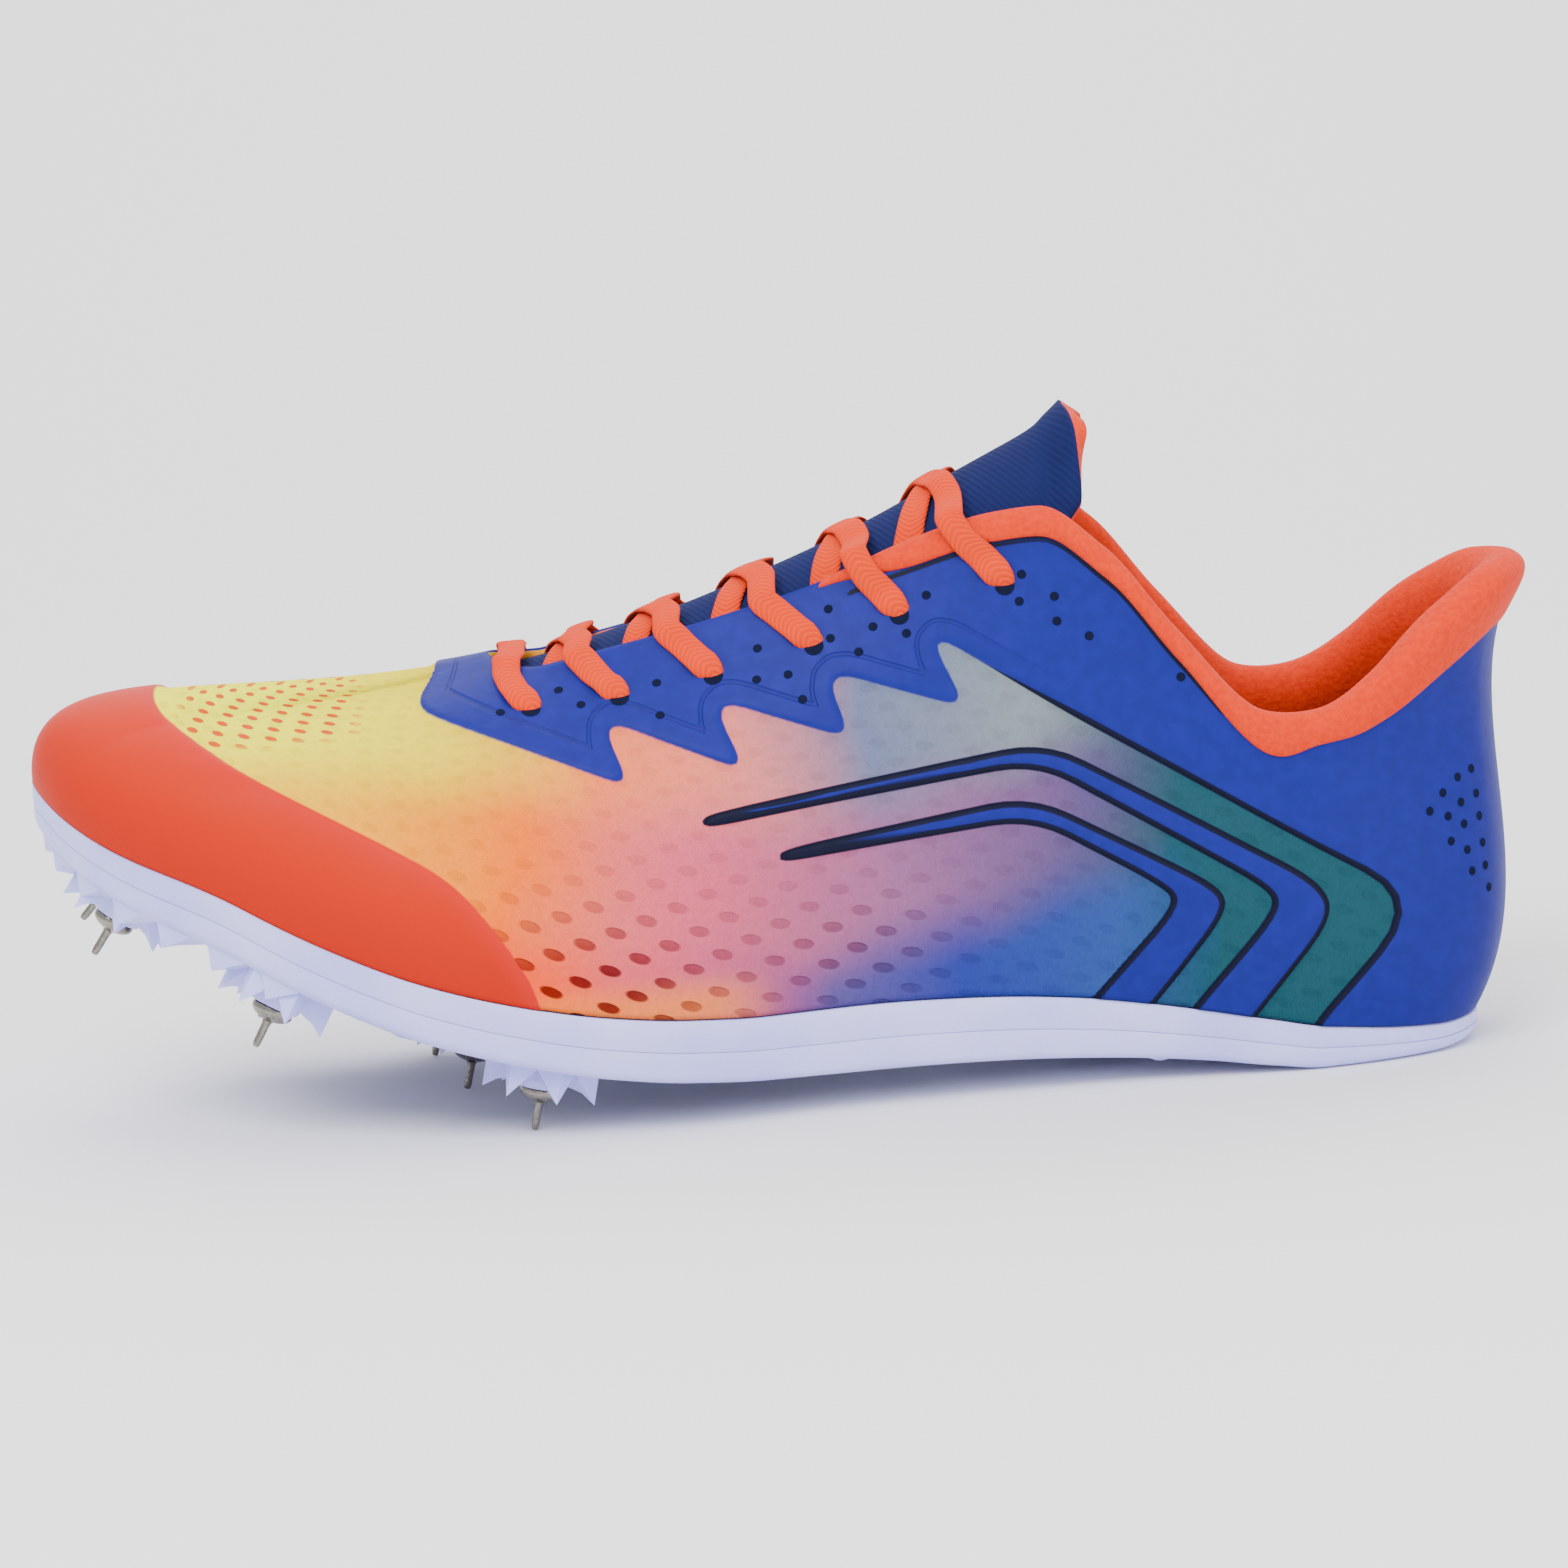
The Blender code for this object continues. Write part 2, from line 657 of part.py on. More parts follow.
def outward(loop, q):
    """Level direction that points away from the inside of a loop."""
    step = 0.004
    along = loop(q + step) - loop(q - step)
    away = np.stack([along[..., 1], -along[..., 0], np.zeros_like(q)], axis=-1)
    return away / np.linalg.norm(away, axis=-1, keepdims=True)


def upper_face(q, t):
    """Outer face of the upper: t runs up the wall from the sole to the edge."""
    q, t = np.broadcast_arrays(np.asarray(q, float), np.asarray(t, float))
    side, turn = side_and_turn(q)
    lean = np.where(side < 0, of_section("lean_lateral", turn), of_section("lean_medial", turn))
    lean, slope = np.radians(lean)[..., None], np.radians(of_section("slope", turn))[..., None]
    rise = of_section("rise", turn)[..., None] * INSTEP_HEIGHT
    reach = of_section("reach", turn)[..., None] * INSTEP_HEIGHT
    up = np.array([0.0, 0.0, 1.0])
    foot, edge = feather(q), collar_edge(q)
    low = foot + rise * (np.cos(lean) * up + np.sin(lean) * outward(feather, q))
    high = edge + reach * (np.cos(slope) * outward(collar_edge, q) - np.sin(slope) * up)
    t = t[..., None]
    return (
        foot * (1 - t) ** 3
        + 3 * low * t * (1 - t) ** 2
        + 3 * high * t**2 * (1 - t)
        + edge * t**3
    )


def upper_offset(q, t, offset):
    """The upper's face moved out along its normal, or in where the offset is negative. Its
    foot stays level with the sole's rim."""
    step = 0.004
    q, t = np.broadcast_arrays(np.asarray(q, float), np.asarray(t, float))
    inside = np.clip(t, step, 1 - step)
    along = upper_face(q + step, inside) - upper_face(q - step, inside)
    up = upper_face(q, inside + step) - upper_face(q, inside - step)
    normal = np.cross(along, up)
    normal[..., 2] = np.where(t <= 0, 0, normal[..., 2])
    normal /= np.linalg.norm(normal, axis=-1, keepdims=True)
    face = upper_face(q, t)
    moved = face + normal * np.asarray(offset, float)[..., None]
    along_rim = rocker(moved[..., 0], moved[..., 1]) - rocker(face[..., 0], face[..., 1])
    moved[..., 2] += np.where(t <= 0, along_rim, 0)
    return moved


def share_from_edge(q, distance):
    """How far up the wall a point lies that is a given distance from the edge."""
    ts = np.linspace(0, 1, 41)
    points = upper_face(np.asarray(q, float)[:, None], ts[None, :])
    steps = np.linalg.norm(np.diff(points, axis=1), axis=2)
    from_edge = np.concatenate([np.cumsum(steps[:, ::-1], axis=1)[:, ::-1], np.zeros((len(steps), 1))], axis=1)
    distance = np.broadcast_to(distance, (len(steps),))
    return np.array([np.interp(-d, -row, ts) for d, row in zip(distance, from_edge)])


def upper_ribs(first=0, last=2 * UPPER_RIBS - 1):
    """The ribs' places round the shoe, from one rib number to another."""
    return np.arange(first, last + 1) / UPPER_RIBS


def upper_rows():
    return np.linspace(0, 1, UPPER_ROWS + 1)


def lofted(name, loops, closed=False):
    """A solid through closed sections of points, capped at its ends or joined end to end."""
    rows, columns = loops.shape[:2]
    faces = grid_faces(rows, columns, wrap_rows=closed, wrap_columns=True)
    if not closed:
        faces.append(tuple(range(columns)))
        faces.append(tuple((rows - 1) * columns + j for j in reversed(range(columns))))
    return mesh_from(name, loops.reshape(-1, 3), faces)


def wall_between(name, qs, ts, outer, inner, closed):
    """A solid between two offsets of the upper's face; ts holds the rows of each rib."""
    qs = qs[:, None]
    faces = [upper_offset(qs, ts, outer), upper_offset(qs, ts, inner)[:, ::-1]]
    return lofted(name, np.concatenate(faces, axis=1), closed)


def make_upper(finish, group):
    qs = upper_ribs()
    mesh = wall_between("upper", qs, upper_rows()[None, :], 0.0, -WALL, closed=True)
    return new_object("upper", mesh, finish, group)


def collar_share(q):
    """0 ahead of the padded collar, 1 once it has begun."""
    turn = side_and_turn(q)[1]
    return np.clip((turn - COLLAR_START + 0.02) / 0.02, 0, 1)


def collar_band(q):
    """Width of the collar's outer band: narrow along the throat, wide at the heel."""
    turn = side_and_turn(q)[1]
    return COLLAR_BAND + (HEEL_BAND - COLLAR_BAND) * smooth(
        np.array([0.74, 0.83]), np.array([0.0, 1.0]), turn, True
    )


def side_prism(name, outline, group, low=-BALL_WIDTH, high=BALL_WIDTH):
    corners = [(x_at(along), level * INSTEP_HEIGHT) for along, level in outline]
    return prism(name, corners, low, high, "Y", group)


def make_overlays(finishes, group, cutters):
    """Moulded films over the knit: the upper's own face moved out, cut by a side outline."""
    rows = upper_rows()
    inner, outer = CLEARANCE, CLEARANCE + OVERLAY

    def cut(name, qs, ts, closed, outline, finish, low=-BALL_WIDTH, high=BALL_WIDTH):
        mesh = wall_between(name, qs, ts, outer, inner, closed)
        piece = new_object(name, mesh, finish, group)
        cutter = side_prism(f"outline_{name}", outline, cutters, low, high)
        boolean(piece, "INTERSECT", cutter)

    reach = UPPER_RIBS * 2 // 5
    cut(
        "toe_cap",
        upper_ribs(-reach, reach),
        rows[None, : UPPER_ROWS * 6 // 10 + 1],
        False,
        TOE_CAP,
        finishes["orange"],
    )
    qs = upper_ribs()
    band = collar_band(qs) + CLEARANCE
    top = np.where(collar_share(qs) > 0, share_from_edge(qs, band), 1.0)
    cut(
        "quarter_overlay",
        qs,
        np.minimum(rows[None, :], top[:, None]),
        True,
        QUARTER,
        finishes["blue"],
    )
    first, last = UPPER_RIBS * 4 // 10, UPPER_RIBS * 8 // 10
    for word, side in (("lateral", LATERAL), ("medial", MEDIAL)):
        ribs = (first, last) if side < 0 else (2 * UPPER_RIBS - last, 2 * UPPER_RIBS - first)
        limits = (-BALL_WIDTH, AXIS_Y) if side < 0 else (AXIS_Y, BALL_WIDTH)
        for kind, outline in (("outer", OUTER_CHEVRON), ("inner", INNER_CHEVRON)):
            cut(
                f"chevron_{kind}_{word}",
                upper_ribs(*ribs),
                rows[None, : UPPER_ROWS * 7 // 10 + 1],
                False,
                outline,
                finishes["blue"],
                *limits,
            )


def make_collar(finish, group):
    """Padded collar: it hooks over the upper's edge and swells inside, most at the heel."""
    first = math.ceil(COLLAR_START * UPPER_RIBS)
    qs = upper_ribs(first, 2 * UPPER_RIBS - first)
    turn = side_and_turn(qs)[1]
    pad = COLLAR_PAD * smooth(np.array([0.60, 0.72]), np.array([0.0, 1.0]), turn, True)
    band, depth = collar_band(qs), np.full_like(qs, LINING_DEPTH)
    low, deep = share_from_edge(qs, band), share_from_edge(qs, depth)
    brow = share_from_edge(qs, np.full_like(qs, COLLAR_CREST))
    belly = share_from_edge(qs, depth * 0.45)
    last_row = np.full_like(qs, upper_rows()[-2])
    edge = collar_edge(qs)
    up = edge - upper_face(qs, 0.98)
    up /= np.linalg.norm(up, axis=-1, keepdims=True)
    skin = CLEARANCE + LINING
    one = np.ones_like(qs)

    def at(t, offset, lift=0.0):
        return upper_offset(qs, t, offset) + lift * up

    loops = [
        at(low, CLEARANCE),
        at(low, skin),
        at(brow, skin),
        at(one, CLEARANCE, CLEARANCE + LINING),
        at(one, -WALL - CLEARANCE - pad * 0.4, CLEARANCE + LINING),
        at(brow, -WALL - skin - pad * 0.8),
        at(belly, -WALL - skin - pad),
        at(deep, -WALL - skin),
        at(deep, -WALL - CLEARANCE),
        at(np.maximum(last_row, deep), -WALL - CLEARANCE),
        at(one, -WALL - CLEARANCE, CLEARANCE),
        at(one, CLEARANCE, CLEARANCE),
        at(np.maximum(last_row, low), CLEARANCE),
    ]
    mesh = lofted("collar_lining", np.stack(loops, axis=1)[:, ::-1])
    return new_object("collar_lining", mesh, finish, group)


def tongue_row(turn):
    """A row across the top of the tongue: under one facing, over the throat, and under the
    other."""
    under = WALL + CLEARANCE + float(collar_share(turn)) * (LINING + CLEARANCE)
    sides = []
    for q in (turn, 2 - turn):
        ribs = np.full(3, q)
        shares = share_from_edge(ribs, np.array([0.009, 0.0045, 0.0]))
        sides.append(upper_offset(ribs, shares, -under))
    lateral, medial = sides[0], sides[1][::-1]
    crown = smooth(TONGUE_CROWN["turn"], TONGUE_CROWN["crown"], turn) * INSTEP_HEIGHT
    across_throat = []
    for share in (0.25, 0.5, 0.75):
        point = lateral[-1] * (1 - share) + medial[0] * share
        across_throat.append(point + np.array([0, 0, crown * (1 - (2 * share - 1) ** 2)]))
    return np.concatenate([lateral, across_throat, medial])


def tongue_top(turn):
    """The free upper end of the tongue, above the collar."""
    edge = collar_edge(np.array(turn))
    middle = AXIS_Y + float(of_section("centre", turn)) * BALL_WIDTH
    offsets = (
        (0.0075, -0.72, -0.030),
        (0.0085, -0.74, 0.030),
        (0.0085, -0.66, 0.100),
        (0.0070, -0.40, 0.155),
        (0.0060, 0.00, 0.173),
        (0.0070, 0.40, 0.155),
        (0.0085, 0.66, 0.100),
        (0.0085, 0.74, 0.030),
        (0.0075, 0.72, -0.030),
    )
    half = float(of_section("half", turn)) * BALL_WIDTH
    rise = (TONGUE_HEIGHT - edge[2]) / offsets[4][2]
    return np.array([(edge[0] + x, middle + half * y, edge[2] + rise * z) for x, y, z in offsets])


def make_tongue(finish, group):
    turns = [rib / UPPER_RIBS for rib in TONGUE_RIBS]
    rows = [tongue_row(turn) for turn in turns] + [tongue_top(turns[-1])]
    mesh = bpy.data.meshes.new("tongue")
    points = np.concatenate(rows)
    faces = [face[::-1] for face in grid_faces(len(rows), len(rows[0]))]
    mesh.from_pydata([tuple(p) for p in points], [], faces)
    work = bmesh.new()
    work.from_mesh(mesh)
    bmesh.ops.remove_doubles(work, verts=work.verts, dist=1e-6)
    bmesh.ops.dissolve_degenerate(work, edges=work.edges, dist=1e-7)
    bmesh.ops.triangulate(work, faces=work.faces)
    work.to_mesh(mesh)
    work.free()
    mesh.shade_smooth()
    piece = new_object("tongue", mesh, finish, group)
    wall = piece.modifiers.new("padding", "SOLIDIFY")
    wall.thickness = TONGUE
    wall.offset = -1
    return piece


def tongue_height(turn, across_share):
    """A point on the tongue's face in the throat, from the lateral edge (0) to the medial (1)."""
    row = tongue_row(turn)
    crown = smooth(TONGUE_CROWN["turn"], TONGUE_CROWN["crown"], turn) * INSTEP_HEIGHT
    point = row[2] * (1 - across_share) + row[6] * across_share
    return point + np.array([0, 0, crown * (1 - (2 * across_share - 1) ** 2)])


def over_facing(side, turn):
    """Middle of a lace from its eyelet to the edge of the facing, and the way its width
    lies."""
    collared = float(collar_share(turn)) > 0
    under = 2 * CLEARANCE + (LINING + 2 * CLEARANCE if collared else OVERLAY)
    ribs = np.full(3, turn if side < 0 else 2 - turn)
    shares = share_from_edge(ribs, np.array([EYELET_DROP, EYELET_DROP / 2, 0.0]))
    points = upper_offset(ribs, shares, under + LACE_THICKNESS / 2)
    points[-1, 2] += 1.8 * under if collared else 0
    step = side * 0.02
    return points, upper_face(ribs - step, shares) - upper_face(ribs + step, shares)


def over_tongue(side, start, end, shares, lifts):
    """Middle of a lace at shares of its way across the throat, in thicknesses above the
    tongue, and the way its width lies."""
    points, widths = [], []
    for share, lift in zip(shares, lifts):
        across_share = share if side < 0 else 1 - share
        turn = start + (end - start) * share
        point = tongue_height(turn, across_share)
        points.append(point + np.array([0, 0, lift * LACE_THICKNESS]))
        widths.append(tongue_height(turn + 0.02, across_share) - tongue_height(turn - 0.02, across_share))
    return np.array(points), np.array(widths)


def lace_strip(name, *stretches):
    """A flat strip along the path and the widths of its stretches, taken in turn."""
    path = np.concatenate([points for points, _ in stretches])
    wide = np.concatenate([widths for _, widths in stretches])
    along = np.gradient(path, axis=0)
    along /= np.linalg.norm(along, axis=1, keepdims=True)
    wide -= along * np.sum(along * wide, axis=1, keepdims=True)
    wide /= np.linalg.norm(wide, axis=1, keepdims=True)
    thick = np.cross(along, wide)
    thick *= np.sign(thick[:, 2:])
    half_wide, half_thick = wide * LACE_WIDTH / 2, thick * LACE_THICKNESS / 2
    corners = [
        path - half_wide - half_thick,
        path + half_wide - half_thick,
        path + half_wide + half_thick,
        path - half_wide + half_thick,
    ]
    return lofted(name, np.stack(corners, axis=1))


def make_laces(finish, group, cutters):
    """A bar across the first eyelets, then from each pair a crossing to the pair before,
    whose two strips end short of the facings that they go under."""
    first = EYELET_TURNS[0]
    middle = over_tongue(LATERAL, first, first, (0.1, 0.5, 0.9), (3.5, 3.0, 3.5))
    points, widths = over_facing(MEDIAL, first)
    far_end = points[::-1], widths[::-1]
    bar = lace_strip("lace_bar", over_facing(LATERAL, first), middle, far_end)
    new_object("lace_bar", bar, finish, group)

    for i, (before, turn) in enumerate(zip(EYELET_TURNS[:-1], EYELET_TURNS[1:]), start=1):
        name = f"lace_crossing_{i}"
        strips = []
        for side in (LATERAL, MEDIAL):
            across_way = over_tongue(side, turn, before, LACE_LIFTS["share"], LACE_LIFTS["lift"])
            strips.append(lace_strip(f"{name}_{side}", over_facing(side, turn), across_way))
        crossing = new_object(name, strips[0], finish, group)
        boolean(crossing, "UNION", helper(f"{name}_medial", strips[1], cutters))


def main():
    for old in list(bpy.data.objects):
        bpy.data.objects.remove(old)
    scene = bpy.context.scene
    shoe = bpy.data.collections.new("track_spike_shoe")
    cutters = bpy.data.collections.new("cutters")
    scene.collection.children.link(shoe)
    scene.collection.children.link(cutters)
    finishes = {
        "sole": material("outsole_white", (0.62, 0.65, 0.82), 0.35),
        "foam": material("midsole_white", (0.66, 0.68, 0.84), 0.5),
        "board": material("board_black", (0.012, 0.016, 0.022), 0.6),
        "insole": material("insole_grey", (0.10, 0.11, 0.13), 0.9),
        "knit": material("knit", (0.80, 0.42, 0.24), 0.8),
        "orange": material("orange", (0.85, 0.12, 0.04), 0.6),
        "blue": material("blue", (0.023, 0.065, 0.46), 0.5),
        "navy": material("navy", (0.01, 0.03, 0.16), 0.8),
        "lace": material("lace", (0.98, 0.16, 0.03), 0.8),
        "steel": material("steel", (0.62, 0.60, 0.56), 0.25, 1.0),
    }
    make_sole(finishes, shoe, cutters)
    make_spikes(finishes["steel"], shoe)
    make_upper(finishes["knit"], shoe)
    make_tongue(finishes["navy"], shoe)
    make_overlays(finishes, shoe, cutters)
    make_collar(finishes["orange"], shoe)
    make_laces(finishes["lace"], shoe, cutters)


main()
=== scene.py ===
import math

import bmesh
import bpy
import numpy as np
from mathutils import Euler, Matrix, Vector


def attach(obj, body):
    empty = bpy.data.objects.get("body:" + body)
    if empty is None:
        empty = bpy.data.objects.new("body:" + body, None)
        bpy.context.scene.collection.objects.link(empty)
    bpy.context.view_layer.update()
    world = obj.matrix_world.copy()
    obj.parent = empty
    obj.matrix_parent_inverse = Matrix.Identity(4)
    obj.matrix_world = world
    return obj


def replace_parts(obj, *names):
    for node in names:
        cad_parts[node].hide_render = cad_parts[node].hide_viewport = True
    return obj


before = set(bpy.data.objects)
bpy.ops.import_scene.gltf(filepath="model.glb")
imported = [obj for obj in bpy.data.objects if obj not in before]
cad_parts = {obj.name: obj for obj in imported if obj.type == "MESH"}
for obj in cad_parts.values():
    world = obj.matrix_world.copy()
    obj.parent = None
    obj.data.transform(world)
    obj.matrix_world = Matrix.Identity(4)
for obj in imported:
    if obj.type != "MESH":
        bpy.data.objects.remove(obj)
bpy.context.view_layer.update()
print("frame loaded")


# Camera, floor and lights

view = {
    "lens": 130.0,
    "distance": 1.1,
    "elevation": 10.0,
    "roll": -3.5,
    "target": (0.0, 0.0, 0.058),
}


def addCamera(settings):
    # behind the target on the outer side, raised by the elevation, then rolled about its own axis
    data = bpy.data.cameras.new("productCamera")
    data.lens = settings["lens"]
    data.clip_start = 0.01
    camera = bpy.data.objects.new("productCamera", data)
    lift = math.radians(settings["elevation"])
    back = Vector((0, -math.cos(lift), math.sin(lift))) * settings["distance"]
    camera.location = Vector(settings["target"]) + back
    upright = Euler((math.pi / 2 - lift, 0, 0)).to_matrix()
    roll = Matrix.Rotation(math.radians(settings["roll"]), 3, "Z")
    camera.rotation_euler = (upright @ roll).to_euler()
    bpy.context.collection.objects.link(camera)
    bpy.context.scene.camera = camera


studioLights = {
    "keyLight": {
        "place": (-0.35, -0.75, 0.95), "target": (0, 0, 0.04), "size": (0.8, 0.6), "power": 17.0,
    },
    "topLight": {
        "place": (0.1, 0.15, 1.1), "target": (0, 0, 0.03), "size": (1.2, 0.9), "power": 6.0,
    },
    "backdropLight": {
        "place": (0, 1.25, 1.35), "target": (0, 1.3, 0), "size": (2.6, 0.9), "power": 26.0,
    },
    "fillLight": {
        "place": (0.7, -0.7, 0.35), "target": (0, 0, 0.05), "size": (0.7, 0.6), "power": 5.0,
    },
}
studioSky = {"colour": (0.86, 0.87, 0.90), "strength": 1.24}


def addLight(name, settings):
    # a soft rectangle that faces its target
    data = bpy.data.lights.new(name, "AREA")
    data.shape = "RECTANGLE"
    data.size, data.size_y = settings["size"]
    data.energy = settings["power"]
    light = bpy.data.objects.new(name, data)
    light.location = settings["place"]
    aim = Vector(settings["target"]) - Vector(settings["place"])
    light.rotation_euler = aim.to_track_quat("-Z", "Y").to_euler()
    bpy.context.collection.objects.link(light)


def addSky(settings):
    # one even colour from all round
    world = bpy.data.worlds.new("softStudio")
    world.use_nodes = True
    background = world.node_tree.nodes["Background"]
    background.inputs["Color"].default_value = (*settings["colour"], 1)
    background.inputs["Strength"].default_value = settings["strength"]
    bpy.context.scene.world = world


addCamera(view)
for name, settings in studioLights.items():
    addLight(name, settings)
addSky(studioSky)
print("camera and lights set")


# Shader maths: a signal is a number that varies over a surface

class Signal:
    def __init__(self, graph, socket):
        self.graph = graph
        self.socket = socket

    def maths(self, operation, *others):
        return self.graph.add("ShaderNodeMath", {"operation": operation}, [self, *others])

    def __add__(self, other):
        return self.maths("ADD", other)

    __radd__ = __add__

    def __sub__(self, other):
        return self.maths("SUBTRACT", other)

    def __rsub__(self, other):
        return self.graph.add("ShaderNodeMath", {"operation": "SUBTRACT"}, [other, self])

    def __mul__(self, other):
        return self.maths("MULTIPLY", other)

    __rmul__ = __mul__

    def __truediv__(self, other):
        return self.maths("DIVIDE", other)

    def __pow__(self, power):
        return self.maths("POWER", power)


class Graph:
    def __init__(self, name, roughness=0.6, **fixed):
        self.material = bpy.data.materials.new(name)
        self.material.use_nodes = True
        self.tree = self.material.node_tree
        self.shader = self.tree.nodes["Principled BSDF"]
        self.shader.inputs["Roughness"].default_value = roughness
        for socket, value in fixed.items():
            self.shader.inputs[socket.replace("_", " ")].default_value = value

    def add(self, kind, settings=None, values=None, output=0):
        node = self.tree.nodes.new(kind)
        for name, value in (settings or {}).items():
            if name == "stops":
                ramp = node.color_ramp
                while len(ramp.elements) < len(value):
                    ramp.elements.new(0.5)
                for element, (place, colour) in zip(ramp.elements, value):
                    element.position = place
                    element.color = (*colour, 1)
            else:
                setattr(node, name, value)
        pairs = values.items() if isinstance(values, dict) else enumerate(values or [])
        for name, value in pairs:
            if isinstance(value, Signal):
                self.tree.links.new(value.socket, node.inputs[name])
            elif value is not None:
                node.inputs[name].default_value = value
        return Signal(self, node.outputs[output])

    def place(self):
        return self.add("ShaderNodeTexCoord", output="Object")

    def axes(self, vector):
        node = self.tree.nodes.new("ShaderNodeSeparateXYZ")
        self.tree.links.new(vector.socket, node.inputs[0])
        return [Signal(self, node.outputs[i]) for i in range(3)]

    def attribute(self, name):
        return self.add("ShaderNodeAttribute", {"attribute_name": name}, output="Fac")

    def step(self, value, low, high):
        # 0 at low, 1 at high, with a soft start and end
        settings = {"interpolation_type": "SMOOTHSTEP"}
        return self.add("ShaderNodeMapRange", settings, [value, low, high, 0.0, 1.0])

    def blend(self, mask, below, above, kind="MIX"):
        settings = {"data_type": "RGBA", "blend_type": kind}
        below, above = [(*c, 1) if isinstance(c, tuple) else c for c in (below, above)]
        return self.add("ShaderNodeMix", settings, {0: mask, 6: below, 7: above}, output=2)

    def noise(self, scale, detail=2.0, vector=None):
        values = {"Scale": scale, "Detail": detail, "Vector": vector or self.place()}
        return self.add("ShaderNodeTexNoise", {}, values)

    def finish(self, colour=None, height=None, depth=0.001, roughness=None):
        links = {"Base Color": colour, "Roughness": roughness}
        if height is not None:
            values = {"Height": height, "Distance": depth, "Strength": 1.0}
            links["Normal"] = self.add("ShaderNodeBump", {}, values)
        for name, value in links.items():
            if isinstance(value, Signal):
                self.tree.links.new(value.socket, self.shader.inputs[name])
            elif value is not None:
                value = (*value, 1) if name == "Base Color" else value
                self.shader.inputs[name].default_value = value
        return self.material


def linear(red, green, blue):
    # screen colour to light
    values = np.array([red, green, blue]) / 255
    light = np.where(values <= 0.04045, values / 12.92, ((values + 0.055) / 1.055) ** 2.4)
    return tuple(float(v) for v in np.clip(light, 0.002, 1))


# The display's own steps: colour spaces, and an S-curve over powers of two
lightOnSide = 2.0
wideGamut = np.array([
    (0.6274, 0.3293, 0.0433),
    (0.0691, 0.9195, 0.0113),
    (0.0164, 0.0880, 0.8956),
])
viewInset = np.array([
    (0.8566, 0.0951, 0.0483),
    (0.1373, 0.7612, 0.1014),
    (0.1119, 0.0768, 0.8113),
])
viewOutset = np.array([
    (1.1271, -0.1106, -0.0165),
    (-0.1413, 1.1578, -0.0165),
    (-0.1413, -0.1106, 1.2519),
])
viewCurve = (15.5, -40.14, 31.96, -6.868, 0.4298, 0.1191, -0.00232)
viewRange, viewBlack = 16.5, -12.474
curveShare = 0.95


def dye(red, green, blue):
    # surface colour that looks like this screen colour on the shoe's side: the display's steps
    # are undone from last to first, and a little of the plain colour is mixed in
    plain = np.array(linear(red, green, blue))
    steps = np.linspace(0.02, 1, 500)
    flat = np.linalg.solve(viewOutset, (wideGamut @ plain) ** (1 / 2.2))
    light = 2.0 ** (np.interp(flat, np.polyval(viewCurve, steps), steps) * viewRange + viewBlack)
    light = np.linalg.solve(wideGamut, np.linalg.solve(viewInset, light)) / lightOnSide
    mixed = light * curveShare + plain * (1 - curveShare)
    return tuple(float(v) for v in np.clip(mixed, 0.002, 0.95))


def addMesh(name, points, faces, finish):
    # a mesh object at the origin, with its place in its mesh
    mesh = bpy.data.meshes.new(name)
    mesh.from_pydata(np.reshape(points, (-1, 3)).tolist(), [], faces)
    mesh.materials.append(finish)
    piece = bpy.data.objects.new(name, mesh)
    bpy.context.collection.objects.link(piece)
    return piece


floorSettings = {
    "half": 3.0,
    "depth": 1.1,
    "bend": 0.8,
    "colour": (237, 237, 238),
    "roughness": 0.85,
}


def addFloor(settings):
    # flat, then a quarter circle up behind the shoe, then upright
    bend, depth = settings["bend"], settings["depth"]
    angles = np.linspace(0, np.pi / 2, 24)
    y = np.concatenate([[-settings["half"]], depth + bend * np.sin(angles), [depth + bend]])
    z = np.concatenate([[0], bend * (1 - np.cos(angles)), [2.5]])
    x = np.array([-1, 1]) * settings["half"]
    points = [(a, b, c) for b, c in zip(y, z) for a in x]
    faces = [(2 * i, 2 * i + 1, 2 * i + 3, 2 * i + 2) for i in range(len(y) - 1)]
    graph = Graph("paleFloor", settings["roughness"], Specular_IOR_Level=0.1)
    floor = addMesh("studioFloor", points, faces, graph.finish(linear(*settings["colour"])))
    floor.data.shade_smooth()


addFloor(floorSettings)


# The shoe's form, in metres: toe towards -X, outer side towards -Y. Sizes are those of its solids

def columns(names, *rows):
    # a table as one array a column
    values = np.array(rows, float)
    return {name: values[:, i] for i, name in enumerate(names.split())}


form = {
    "soleLength": 0.2795,
    "ballWidth": 0.095,
    "toeLift": 0.0585,
    "bandHeight": 0.013,
    "instepHeight": 0.110,
    "heelHeight": 0.0915,
    "heelOverhang": 0.013,
    "clearance": 0.0003,
    "ballSkew": 0.32,
    "upperInset": 0.001,
    "wall": 0.0018,
}
form["toeX"] = -(form["soleLength"] + form["heelOverhang"]) / 2

outline = columns(
    "along lateral medial",
    (0.000, 0.000, 0.000),
    (0.010, 0.120, 0.100),
    (0.028, 0.213, 0.160),
    (0.066, 0.326, 0.243),
    (0.130, 0.432, 0.330),
    (0.200, 0.499, 0.400),
    (0.270, 0.549, 0.434),
    (0.345, 0.564, 0.376),
    (0.420, 0.541, 0.265),
    (0.530, 0.447, 0.185),
    (0.600, 0.404, 0.187),
    (0.680, 0.368, 0.226),
    (0.756, 0.341, 0.276),
    (0.830, 0.328, 0.326),
    (0.870, 0.316, 0.338),
    (0.906, 0.294, 0.324),
    (0.955, 0.240, 0.253),
    (0.993, 0.130, 0.124),
    (1.000, 0.000, 0.000),
)
form["axisY"] = (outline["lateral"].max() - outline["medial"].max()) / 2 * form["ballWidth"]
bothSides = ((-1, "lateral"), (1, "medial"))

